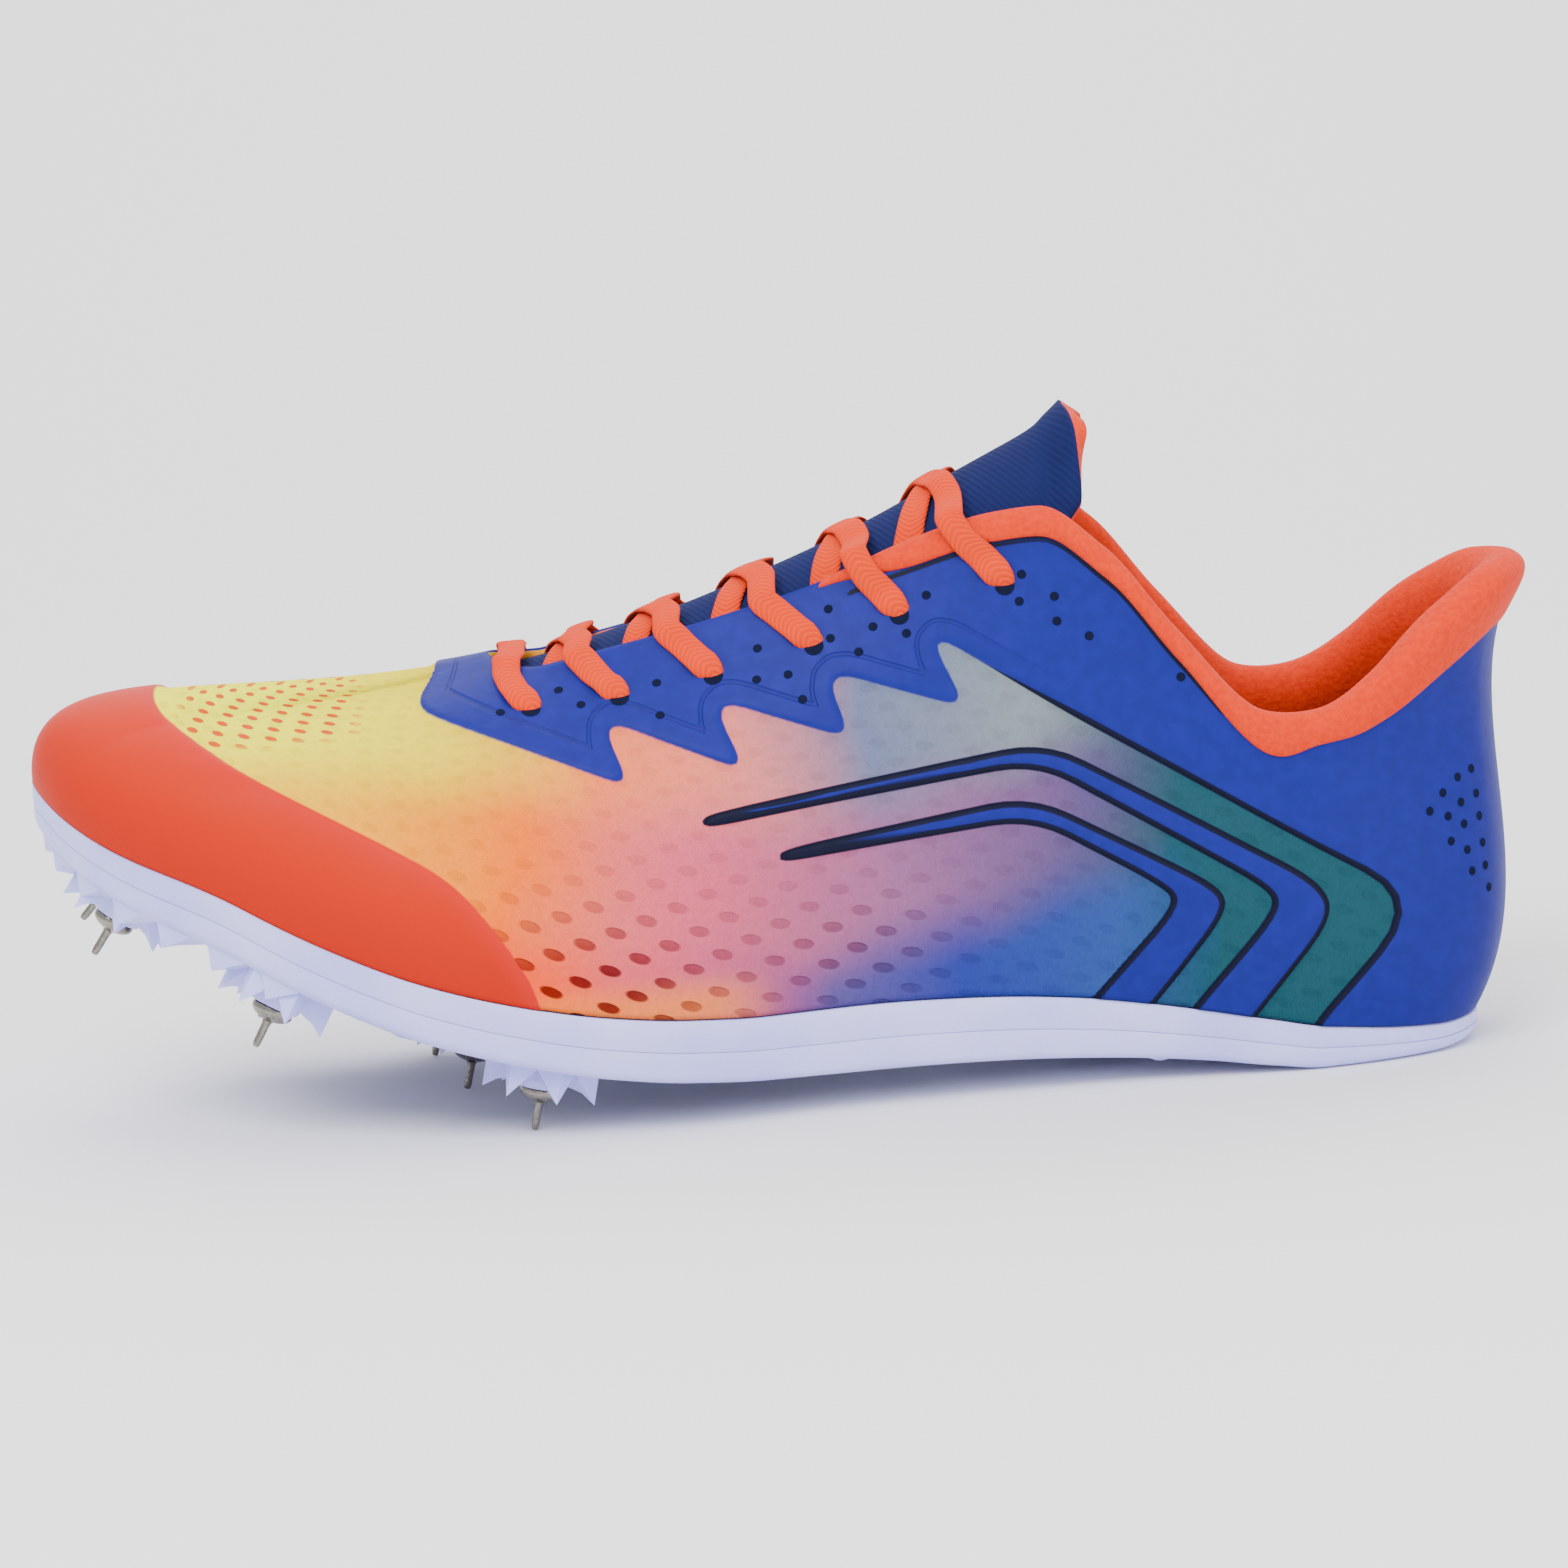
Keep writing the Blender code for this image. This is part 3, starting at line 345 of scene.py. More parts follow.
rockerLift = columns(
    "along lift",
    (-0.10, 1.300),
    (0.000, 1.000),
    (0.035, 0.872),
    (0.070, 0.738),
    (0.110, 0.598),
    (0.159, 0.464),
    (0.218, 0.342),
    (0.280, 0.255),
    (0.339, 0.194),
    (0.400, 0.154),
    (0.460, 0.133),
    (0.524, 0.127),
    (0.600, 0.123),
    (0.664, 0.114),
    (0.735, 0.091),
    (0.803, 0.056),
    (0.848, 0.022),
    (0.885, 0.000),
    (0.965, 0.000),
    (1.000, 0.020),
)

bandShares = columns(
    "along height",
    (0.00, 0.69),
    (0.10, 0.81),
    (0.20, 0.87),
    (0.30, 0.89),
    (0.40, 0.92),
    (0.50, 0.96),
    (0.58, 1.00),
    (0.65, 0.98),
    (0.72, 0.92),
    (0.79, 0.80),
    (0.87, 0.68),
    (0.94, 0.50),
    (1.00, 0.38),
)

# Throat and collar edge, and how the wall leaves the sole and meets that edge
sections = columns(
    "turn along centre half level heel rise leanLateral leanMedial reach slope",
    (0.000, 0.324, -0.042, 0.000, 0.785, 0.0, 0.236, 2, 2, 0.455, 10),
    (0.111, 0.327, -0.042, 0.040, 0.782, 0.0, 0.218, 3, 3, 0.436, 12),
    (0.188, 0.334, -0.042, 0.084, 0.775, 0.0, 0.218, 6, 5, 0.382, 17),
    (0.287, 0.356, -0.044, 0.121, 0.771, 0.0, 0.236, 9, 8, 0.291, 30),
    (0.362, 0.399, -0.046, 0.137, 0.795, 0.0, 0.264, 9, 9, 0.236, 46),
    (0.420, 0.463, -0.050, 0.147, 0.832, 0.0, 0.282, 9, 14, 0.236, 56),
    (0.471, 0.535, -0.050, 0.163, 0.882, 0.0, 0.291, 9, 20, 0.245, 64),
    (0.525, 0.614, -0.042, 0.189, 0.950, 0.0, 0.309, 9, 24, 0.255, 72),
    (0.570, 0.674, -0.030, 0.216, 0.992, 0.0, 0.327, 9, 22, 0.264, 78),
    (0.600, 0.707, -0.024, 0.237, 1.000, 0.0, 0.336, 9, 20, 0.273, 81),
    (0.638, 0.750, -0.016, 0.268, 0.923, 0.0, 0.309, 9, 17, 0.245, 84),
    (0.679, 0.796, -0.008, 0.295, 0.802, 0.2, 0.255, 9, 14, 0.209, 86),
    (0.725, 0.851, 0.000, 0.321, 0.684, 0.5, 0.218, 10, 12, 0.182, 88),
    (0.765, 0.889, 0.004, 0.326, 0.719, 0.8, 0.200, 12, 12, 0.164, 92),
    (0.817, 0.936, 0.004, 0.300, 0.821, 1.0, 0.218, 16, 15, 0.182, 102),
    (0.880, 0.984, 0.003, 0.240, 0.929, 1.0, 0.245, 22, 21, 0.218, 115),
    (0.943, 1.024, 0.001, 0.146, 0.989, 1.0, 0.264, 30, 29, 0.245, 124),
    (1.000, 1.042, 0.000, 0.000, 1.000, 1.0, 0.273, 34, 34, 0.255, 127),
)


def curveThrough(xs, ys, x, levelEnds=False):
    # cubic through the rows whose slope at each is the weighted harmonic mean of its neighbours
    steps = np.diff(xs)
    rises = np.diff(ys) / steps
    before, after = rises[:-1], rises[1:]
    agree = before * after > 0
    weightBefore = 2 * steps[1:] + steps[:-1]
    weightAfter = steps[1:] + 2 * steps[:-1]
    parts = weightBefore / np.where(agree, before, 1) + weightAfter / np.where(agree, after, 1)
    mean = (weightBefore + weightAfter) / np.where(agree, parts, 1)
    slopes = np.concatenate([[rises[0]], np.where(agree, mean, 0), [rises[-1]]])
    if levelEnds:
        slopes[[0, -1]] = 0
    x = np.clip(x, xs[0], xs[-1])
    i = np.clip(np.searchsorted(xs, x, side="right") - 1, 0, len(steps) - 1)
    t = (x - xs[i]) / steps[i]
    ends = ys[i] * (1 + 2 * t) * (1 - t) ** 2 + ys[i + 1] * t**2 * (3 - 2 * t)
    return ends + steps[i] * t * (1 - t) * (slopes[i] * (1 - t) - slopes[i + 1] * t)


def softStep(value, low, high):
    # 3t^2 - 2t^3, with t the clamped share of the way from low to high
    t = np.clip((value - low) / (high - low), 0, 1)
    return t * t * (3 - 2 * t)


def alongX(along):
    # x of a share of the sole's length
    return form["toeX"] + along * form["soleLength"]


def turnShare(turn):
    # share of the length at a share of half a turn, from toe to heel, by the cosine
    return (1 - np.cos(np.pi * turn)) / 2


def halfWidth(side, turn):
    # the outline's curve on each side, times the width at the ball
    turns = np.arccos(1 - 2 * outline["along"]) / np.pi
    wide = [curveThrough(turns, outline[word], turn) for _, word in bothSides]
    return np.where(side < 0, *wide) * form["ballWidth"]


def rocker(x, y):
    # underside height: the lift curve, read further back or forward across the ball
    along = (x - form["toeX"]) / form["soleLength"]
    starts, shares = np.array([0.0, 0.16, 0.45, 0.62]), np.array([0.0, 1.0, 1.0, 0.0])
    share = curveThrough(starts, shares, along, True)
    skewed = along + form["ballSkew"] * (y - form["axisY"]) / form["soleLength"] * share
    return curveThrough(rockerLift["along"], rockerLift["lift"], skewed) * form["toeLift"]


def bandHeight(turn):
    # height of the foam band's top edge over the underside
    share = curveThrough(bandShares["along"], bandShares["height"], turnShare(turn))
    return share * form["bandHeight"]


def sideAndTurn(q):
    # q runs once round in 0 to 2: from toe to heel on the outer side, then back on the inner
    q = np.mod(q, 2)
    return np.where(q <= 1, -1, 1), np.where(q <= 1, q, 2 - q)


def sectionOf(name, turn):
    # one column of the sections, read by the curve through its rows
    return curveThrough(sections["turn"], sections[name], turn, name != "half")


def footLine(q):
    # where the wall meets the band: the outline drawn in a little, on the band's top
    side, turn = sideAndTurn(q)
    inset = 1 - form["upperInset"] * 2 / form["soleLength"]
    middle = form["toeX"] + form["soleLength"] / 2
    x = middle + (alongX(turnShare(turn)) - middle) * inset
    narrowed = 1 - form["upperInset"] * 2 / form["ballWidth"]
    y = form["axisY"] + side * halfWidth(side, turn) * narrowed
    return np.stack([x, y, rocker(x, y) + bandHeight(turn) + form["clearance"]], axis=-1)


def edgeLine(q):
    # edge of throat and collar: centre and half width over the ball's width, at its level
    side, turn = sideAndTurn(q)
    heel = sectionOf("heel", turn)
    x = alongX(sectionOf("along", turn))
    across = sectionOf("centre", turn) + side * sectionOf("half", turn)
    y = form["axisY"] + across * form["ballWidth"]
    z = sectionOf("level", turn) * (form["instepHeight"] * (1 - heel) + form["heelHeight"] * heel)
    return np.stack([x, y, z], axis=-1)


def awayFrom(loop, q):
    # level direction square to a loop, outwards
    along = loop(q + 0.004) - loop(q - 0.004)
    away = np.stack([along[..., 1], -along[..., 0], np.zeros_like(q)], axis=-1)
    return away / np.linalg.norm(away, axis=-1, keepdims=True)


def upperFace(q, t):
    # cubic rib from the foot line to the edge line, with a rise at its foot and a reach at its edge
    q, t = np.broadcast_arrays(np.asarray(q, float), np.asarray(t, float))
    side, turn = sideAndTurn(q)
    lean = np.where(side < 0, sectionOf("leanLateral", turn), sectionOf("leanMedial", turn))
    lean, slope = np.radians(lean)[..., None], np.radians(sectionOf("slope", turn))[..., None]
    rise = sectionOf("rise", turn)[..., None] * form["instepHeight"]
    reach = sectionOf("reach", turn)[..., None] * form["instepHeight"]
    up = np.array([0.0, 0.0, 1.0])
    foot, edge = footLine(q), edgeLine(q)
    low = foot + rise * (np.cos(lean) * up + np.sin(lean) * awayFrom(footLine, q))
    high = edge + reach * (np.cos(slope) * awayFrom(edgeLine, q) - np.sin(slope) * up)
    t = t[..., None]
    lower = foot * (1 - t) ** 3 + 3 * low * t * (1 - t) ** 2
    return lower + 3 * high * t**2 * (1 - t) + edge * t**3


def upperNormal(q, t):
    # cross product of the steps along and up the wall, kept level at its foot
    q, t = np.broadcast_arrays(np.asarray(q, float), np.asarray(t, float))
    inside = np.clip(t, 0.004, 0.996)
    along = upperFace(q + 0.004, inside) - upperFace(q - 0.004, inside)
    up = upperFace(q, inside + 0.004) - upperFace(q, inside - 0.004)
    normal = np.cross(along, up)
    normal[..., 2] = np.where(t <= 0, 0, normal[..., 2])
    return normal / np.linalg.norm(normal, axis=-1, keepdims=True)


def upperOffset(q, t, offset):
    # point of the wall moved along its normal
    return upperFace(q, t) + upperNormal(q, t) * np.asarray(offset, float)[..., None]


def shareFromEdge(q, distance):
    # t of the point that lies a distance down the wall from the edge
    ts = np.linspace(0, 1, 61)
    q = np.asarray(q, float)
    points = upperFace(q[:, None], ts[None, :])
    steps = np.linalg.norm(np.diff(points, axis=1), axis=2)
    left = np.cumsum(steps[:, ::-1], axis=1)[:, ::-1]
    left = np.concatenate([left, np.zeros((len(q), 1))], axis=1)
    distance = np.broadcast_to(distance, (len(q),))
    return np.array([np.interp(-d, -row, ts) for d, row in zip(distance, left)])


def roundCorners(points, radius):
    # each corner becomes a quadratic curve between points a radius back along its two sides
    radius = np.broadcast_to(np.asarray(radius, float), len(points))[:, None]
    points = np.array(points, float)
    ends = []
    for shift in (1, -1):
        side = np.roll(points, shift, axis=0) - points
        size = np.linalg.norm(side, axis=1, keepdims=True)
        ends.append(points + side / size * np.minimum(radius, size * 0.45))
    start, end = ends
    t = np.linspace(0, 1, 6)[None, :, None]
    curve = start[:, None] * (1 - t) ** 2 + 2 * points[:, None] * t * (1 - t) + end[:, None] * t**2
    return curve.reshape(-1, 2)


def outlineDistance(x, z, corners, radius=0.0):
    # distance to the nearest side of a closed outline seen from the side, negative inside it;
    # a third column gives each corner its own rounding in millimetres
    rows = np.array(corners)
    places = rows[:, :2] * [form["soleLength"], form["instepHeight"]] + [form["toeX"], 0]
    starts = roundCorners(places, rows[:, 2] / 1000 if rows.shape[1] == 3 else radius)
    nearest = np.full(x.shape, 1e3)
    inside = np.zeros(x.shape, bool)
    for (ax, az), (bx, bz) in zip(starts, np.roll(starts, -1, axis=0)):
        dx, dz = bx - ax, bz - az
        if math.hypot(dx, dz) < 1e-7:
            continue
        share = np.clip(((x - ax) * dx + (z - az) * dz) / (dx * dx + dz * dz), 0, 1)
        nearest = np.minimum(nearest, np.hypot(x - ax - share * dx, z - az - share * dz))
        crosses = (az > z) != (bz > z)
        inside ^= crosses & (x < ax + (z - az) * dx / np.where(dz == 0, 1, dz))
    return np.where(inside, -nearest, nearest)


def addGrid(name, points, finish, closedRows=False, closedColumns=False, caps=False,
            maps=None, values=None):
    # quads over a grid of points, rows by columns; maps holds one (u, v) pair a point, and
    # values one number a point
    rows, cols = points.shape[:2]
    i = np.arange(rows if closedRows else rows - 1)[:, None]
    j = np.arange(cols if closedColumns else cols - 1)[None, :]
    corners = [(i, j), (i, j + 1), (i + 1, j + 1), (i + 1, j)]
    quads = [(r % rows) * cols + c % cols + 0 * (i + j) for r, c in corners]
    quads = np.stack(quads, axis=-1).reshape(-1, 4)
    ends = []
    if caps:
        ends = [list(range(cols)), list(range(rows * cols - 1, (rows - 1) * cols - 1, -1))]
    piece = addMesh(name, points, quads[:, ::-1].tolist() + ends, finish)
    mesh = piece.data
    if maps is not None:
        layer = mesh.uv_layers.new(name="cloth")
        wide = np.stack([np.broadcast_to(way, (rows + 1, cols + 1)) for way in maps], axis=-1)
        placed = np.stack([wide[r + 0 * j, c + 0 * i] for r, c in corners], axis=-2)
        placed = placed.reshape(-1, 4, 2)
        flat = np.zeros((len(mesh.loops), 2))
        flat[: placed.shape[0] * 4] = placed[:, ::-1].reshape(-1, 2)
        layer.data.foreach_set("uv", flat.ravel())
    for key, numbers in (values or {}).items():
        spread = mesh.attributes.new(key, "FLOAT", "POINT")
        spread.data.foreach_set("value", np.ravel(numbers).astype(np.float32))
    mesh.shade_smooth()
    return piece


def ringQuads(rings, around):
    # quads between neighbouring rings of points, each ring closed on itself
    i, j = np.arange(rings - 1)[:, None], np.arange(around)[None, :]
    k = (j + 1) % around
    corners = [i * around + j, i * around + k, (i + 1) * around + k, (i + 1) * around + j]
    return np.stack(corners, axis=-1).reshape(-1, 4)


def weld(piece, sharp=38, near=2e-6):
    # doubled points are merged, all faces turned outwards, and edges past the angle kept sharp
    work = bmesh.new()
    work.from_mesh(piece.data)
    bmesh.ops.remove_doubles(work, verts=work.verts, dist=near)
    bmesh.ops.dissolve_degenerate(work, edges=work.edges, dist=1e-7)
    bmesh.ops.recalc_face_normals(work, faces=work.faces)
    work.to_mesh(piece.data)
    work.free()
    piece.data.shade_smooth()
    piece.data.set_sharp_from_angle(angle=math.radians(sharp))


# Upper: knit with moulded films, one shell whose face rises where a film lies on it

upperSettings = {
    "stations": 800,
    "outerRows": 88,
    "innerRows": 8,
    "middleRow": 30,
    "film": 0.0009,
    "filmSlope": 0.0009,
    # shares of the length where the rear's trim starts and is full
    "rear": (0.62, 0.74),
    # the navy line under the collar: millimetres from the edge
    "collarLine": 4.6,
    # where the knit is open: centre, length, height and strength
    "openAreas": ((-0.040, 0.028, 0.027, 0.015, 1.0), (0.012, 0.031, 0.017, 0.011, 0.42)),
    "openLeast": 0.10,
    "toeCap": (
        (0.080, 1.200), (0.086, 0.775), (0.098, 0.732), (0.129, 0.688), (0.190, 0.614),
        (0.251, 0.532), (0.297, 0.466), (0.329, 0.366), (0.352, 0.262), (0.364, 0.000),
        (-0.200, 0.000), (-0.200, 1.200),
    ),
    "quarter": (
        (0.300, 1.300, 3), (0.289, 0.770, 3), (0.274, 0.727, 4), (0.421, 0.588, 5),
        (0.401, 0.698, 7), (0.499, 0.602, 5), (0.477, 0.721, 7), (0.571, 0.643, 5),
        (0.555, 0.759, 7), (0.650, 0.682, 5), (0.626, 0.815, 7), (0.955, 0.289, 13),
        (0.883, 0.098, 3), (0.830, -0.100, 1), (1.300, -0.100, 1), (1.300, 1.300, 1),
    ),
    "outerChevron": (
        (0.469, 0.523), (0.469, 0.535), (0.701, 0.613), (0.880, 0.342), (0.892, 0.281),
        (0.837, 0.114), (0.780, -0.060), (0.735, -0.060), (0.795, 0.130), (0.855, 0.298),
        (0.849, 0.338), (0.695, 0.586),
    ),
    "innerChevron": (
        (0.519, 0.454), (0.519, 0.466), (0.689, 0.523), (0.812, 0.344), (0.819, 0.304),
        (0.769, 0.152), (0.700, -0.040), (0.655, -0.040), (0.725, 0.155), (0.788, 0.321),
        (0.776, 0.356), (0.690, 0.492),
    ),
}


# Printed tints by share of the shoe's length, in three rows; openings as pitch along and up,
# length, height and slant
knitSettings = {
    "low": (
        (0.15, (255, 204, 124)), (0.26, (253, 145, 108)), (0.36, (245, 150, 118)),
        (0.44, (212, 138, 156)), (0.53, (125, 120, 175)), (0.62, (70, 102, 185)),
        (0.71, (80, 120, 182)), (0.78, (54, 112, 126)),
    ),
    "middle": (
        (0.15, (255, 212, 114)), (0.32, (255, 176, 116)), (0.42, (222, 146, 154)),
        (0.56, (178, 138, 168)), (0.67, (126, 116, 160)), (0.75, (56, 112, 126)),
    ),
    "high": (
        (0.15, (255, 228, 104)), (0.28, (255, 218, 112)), (0.38, (242, 174, 140)),
        (0.46, (222, 164, 156)), (0.55, (142, 152, 176)), (0.645, (160, 168, 172)),
        (0.73, (60, 116, 118)),
    ),
    "sand": (232, 176, 124),
    "wideOpenings": (0.0104, 0.0072, 0.0040, 0.0019, 0.18),
    "smallOpenings": (0.0084, 0.0058, 0.0033, 0.0014, 0.10),
    "openingShade": (128, 74, 88),
    "openingOrange": (0.75, 0.070, 0.005),
    "yarnShade": (176, 176, 184),
    "blues": ((38, 70, 164), (43, 75, 173)),
    # painted shade: a darker blue laid in the groove along the quarter's edge
    "grooveShadeBlue": (30, 56, 138),
    "trimNavy": (14, 24, 58),
    # the toe cap's orange, lit and in painted shade
    "capLitAndShadedOranges": ((0.52, 0.020, 0.003), (0.43, 0.013, 0.002)),
    "capEdgeRed": (0.56, 0.013, 0.016),
}


def knitFinish(settings):
    # three printed rows of tints that fade into each other, the knit's openings, then the films
    graph = Graph("printedKnit", 0.8, Specular_IOR_Level=0.08)
    x, y, z = graph.axes(graph.place())
    drift = graph.noise(22.0, 2.0) - 0.5
    run = (x + drift * 0.03) / 0.30 + 0.5
    tints = {}
    for name in ("low", "middle", "high"):
        stops = [(place, dye(*colour)) for place, colour in settings[name]]
        tints[name] = graph.add("ShaderNodeValToRGB", {"stops": stops}, [run])
    level = z + drift * 0.018 - x.maths("ABSOLUTE") * 0.2
    tint = graph.blend(graph.step(level, 0.022, 0.036), tints["low"], tints["middle"])
    tint = graph.blend(graph.step(level, 0.046, 0.062), tint, tints["high"])
    sandy = graph.step(z, 0.032, 0.024) * graph.step(x, -0.062, -0.045) * graph.step(x, 0.0, -0.018)
    tint = graph.blend(sandy * 0.7, tint, dye(*settings["sand"]))

    cloth = graph.add("ShaderNodeUVMap", {"uv_map": "cloth"})
    along, up, _ = graph.axes(cloth)

    def openings(pitch, rise, long, tall, tilt):
        # ovals in two staggered rows
        masks = []
        for shift in (0.0, 0.5):
            a = (along / pitch + shift).maths("FRACT") - 0.5
            b = ((up + along * tilt) / rise + shift).maths("FRACT") - 0.5
            spread = (a * (pitch / long)) ** 2 + (b * (rise / tall)) ** 2
            masks.append(graph.step(spread, 0.34, 0.16))
        return masks[0].maths("MAXIMUM", masks[1])

    wide = openings(*settings["wideOpenings"]) * graph.attribute("openMesh")
    small = openings(*settings["smallOpenings"]) * graph.attribute("toeMesh")
    shaded = graph.blend(1.0, tint, linear(*settings["openingShade"]), "MULTIPLY")
    tint = graph.blend(small, graph.blend(wide, tint, shaded), settings["openingOrange"])
    knitted = graph.add("ShaderNodeTexWave", {"bands_direction": "X"}, {
        "Vector": cloth, "Scale": 900.0, "Distortion": 1.5, "Detail": 1.0, "Detail Scale": 3.0})
    grain = graph.noise(900.0, 2.0)
    shaded = graph.blend(1.0, tint, linear(*settings["yarnShade"]), "MULTIPLY")
    tint = graph.blend(graph.step(grain, 0.3, 0.75) * 0.16, tint, shaded)

    film = graph.attribute("filmEdge")
    cap = graph.attribute("capEdge")
    front = 1.0 - graph.attribute("rearShare")
    edge = graph.attribute("quarterEdge")
    border = edge.maths("ABSOLUTE") + front * 0.8
    bands = graph.attribute("bandEdge").maths("ABSOLUTE")
    trim = bands.maths("MINIMUM", border).maths("MINIMUM", graph.attribute("collarLine"))
    groove = graph.step((edge + 4.0).maths("ABSOLUTE"), 0.55, 0.15) * front
    blueGrain = graph.noise(350.0, 3.0)
    deep, bright = [dye(*colour) for colour in settings["blues"]]
    blue = graph.blend(graph.step(blueGrain, 0.35, 0.7), deep, bright)
    # painted shade: the toe cap takes its darker orange low down and towards the toe
    capLowShade = graph.step(z + x * 0.36, 0.035, 0.0)
    capTone = graph.blend(capLowShade, *settings["capLitAndShadedOranges"])
    capTone = graph.blend(graph.step(cap, -4.2, -0.4) * 0.45, capTone, settings["capEdgeRed"])
    colour = graph.blend(graph.step(cap, 0.25, -0.25), tint, capTone)
    # painted shade: the film's blue is darkened in the groove, on top of the groove sunk in the
    # height
    blue = graph.blend(groove * 0.35, blue, dye(*settings["grooveShadeBlue"]))
    colour = graph.blend(graph.step(film, 0.2, -0.2), colour, blue)
    colour = graph.blend(graph.step(trim, 0.75, 0.45), colour, dye(*settings["trimNavy"]))
    onFilm = graph.step(film.maths("MINIMUM", cap), 0.2, -0.2)
    weave = (knitted * 0.5 + grain * 0.5) * (1.0 - onFilm)
    sunk = (wide * 0.8 + small * 0.5).maths("MINIMUM", 1.0) * (1.0 - onFilm)
    height = weave * 0.30 - sunk * 1.6 + blueGrain * onFilm * 0.12 - groove * onFilm * 0.5
    return graph.finish(colour, height, 0.0005, 0.78 - onFilm * 0.30)


def addUpper(settings):
    # a closed loop a station: up the outer face, over the edge and down the inner face
    q = np.arange(settings["stations"])[:, None] * 2 / settings["stations"]
    t = np.linspace(0, 1, settings["outerRows"])[None, :]
    face = upperFace(q, t)
    x, z = face[..., 0], face[..., 2]
    quarter = outlineDistance(x, z, settings["quarter"])
    outer = outlineDistance(x, z, settings["outerChevron"], 0.008)
    inner = outlineDistance(x, z, settings["innerChevron"], 0.008)
    chevrons = np.minimum(outer, inner)
    cap = outlineDistance(x, z, settings["toeCap"], 0.010)
    film = np.minimum(quarter, chevrons)
    lift = softStep(-np.minimum(film, cap), -settings["filmSlope"] / 2, settings["filmSlope"] / 2)
    outside = face + upperNormal(q, t) * (lift * settings["film"])[..., None]
    outside[:, 0, 2] = face[:, 0, 2]
    back = np.linspace(1, 0, settings["innerRows"])[None, :]
    loops = np.concatenate([outside, upperOffset(q, back, np.full((1, 1), -form["wall"]))], axis=1)

    steps = np.linalg.norm(np.diff(face, axis=1), axis=2)
    up = np.concatenate([np.zeros((len(q), 1)), np.cumsum(steps, axis=1)], axis=1)
    middle = face[:, settings["middleRow"]]
    along = np.concatenate([[0], np.cumsum(np.linalg.norm(np.diff(middle, axis=0), axis=1))])
    rear = softStep(x, *[alongX(share) for share in settings["rear"]])
    turn = sideAndTurn(q)[1]
    lined = softStep(turn, 0.49, 0.50) * (1 - softStep(turn, 0.700, 0.716))
    collarLine = np.abs((up[:, -1:] - up) * 1000 - settings["collarLine"]) + (1 - lined) * 4
    openMesh = settings["openLeast"]
    for centreX, centreZ, long, tall, strength in settings["openAreas"]:
        apart = ((x - centreX) / long) ** 2 + ((z - centreZ) / tall) ** 2
        openMesh = openMesh + strength * np.exp(-apart)
    openMesh = np.clip(openMesh, 0, 1)
    toeLevel = 0.0745 + (x + 0.1) * 0.06
    toeMesh = softStep(x, -0.117, -0.113) * softStep(-x, 0.077, 0.084)
    toeMesh = toeMesh * softStep(z, toeLevel, toeLevel + 0.002)

    # the material's values, with a last one for the inner face: distances are in millimetres
    values = {
        "filmEdge": (film * 1000, 50),
        "capEdge": (cap * 1000, 50),
        "bandEdge": (chevrons * 1000, 50),
        "quarterEdge": (quarter * 1000, 50),
        "rearShare": (rear, 0),
        "collarLine": (collarLine, 50),
        "openMesh": (openMesh, 0),
        "toeMesh": (toeMesh, 0),
    }
    inner = np.ones((len(q), settings["innerRows"]))
    for key, (numbers, last) in values.items():
        numbers = np.broadcast_to(numbers, face.shape[:2])
        values[key] = np.concatenate([numbers, inner * last], axis=1)
    u = np.concatenate([along, [along[-1] + 0.001]])[:, None]
    v = np.concatenate([up, up[:, -1:] * inner, up[:, :1]], axis=1)
    v = np.concatenate([v, v[:1]], axis=0)
    piece = addGrid("knitUpper", loops, knitFinish(knitSettings), True, True,
                    maps=(u, v), values=values)
    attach(piece, "root")
    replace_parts(piece, "upper", "toe_cap", "quarter_overlay", "chevron_outer_lateral",
                "chevron_outer_medial", "chevron_inner_lateral", "chevron_inner_medial")


addUpper(upperSettings)
print("upper made")


# Padded collar: a hooked section over the upper's edge, fullest inside the heel

collarSettings = {
    "first": 0.484,
    "stations": 220,
    "bandTurns": (0.48, 0.68, 0.712, 0.734, 0.765, 0.80, 0.84, 0.88, 1.0),
    "bands": (4.2, 4.2, 5.4, 6.6, 4.8, 6.8, 9.0, 10.4, 10.8),
    "skin": 0.0012,
    "pad": 0.0042,
    "depth": 0.016,
    "light": (0.68, 0.034, 0.003),
    "dark": (0.58, 0.024, 0.002),
}


def fabricFinish(name, light, dark, lift=0.0004):
    # knitted loops as fine noise between two tones, with broad soft patches
    graph = Graph(name, 0.85, Specular_IOR_Level=0.08, Sheen_Weight=0.06, Sheen_Roughness=0.5)
    loops = graph.noise(900.0, 2.0)
    broad = graph.noise(60.0, 3.0)
    tone = graph.blend(graph.step(loops, 0.3, 0.7), dark, light)
    tone = graph.blend(graph.step(broad, 0.35, 0.7) * 0.25, tone, dark)
    return graph.finish(tone, loops, lift)


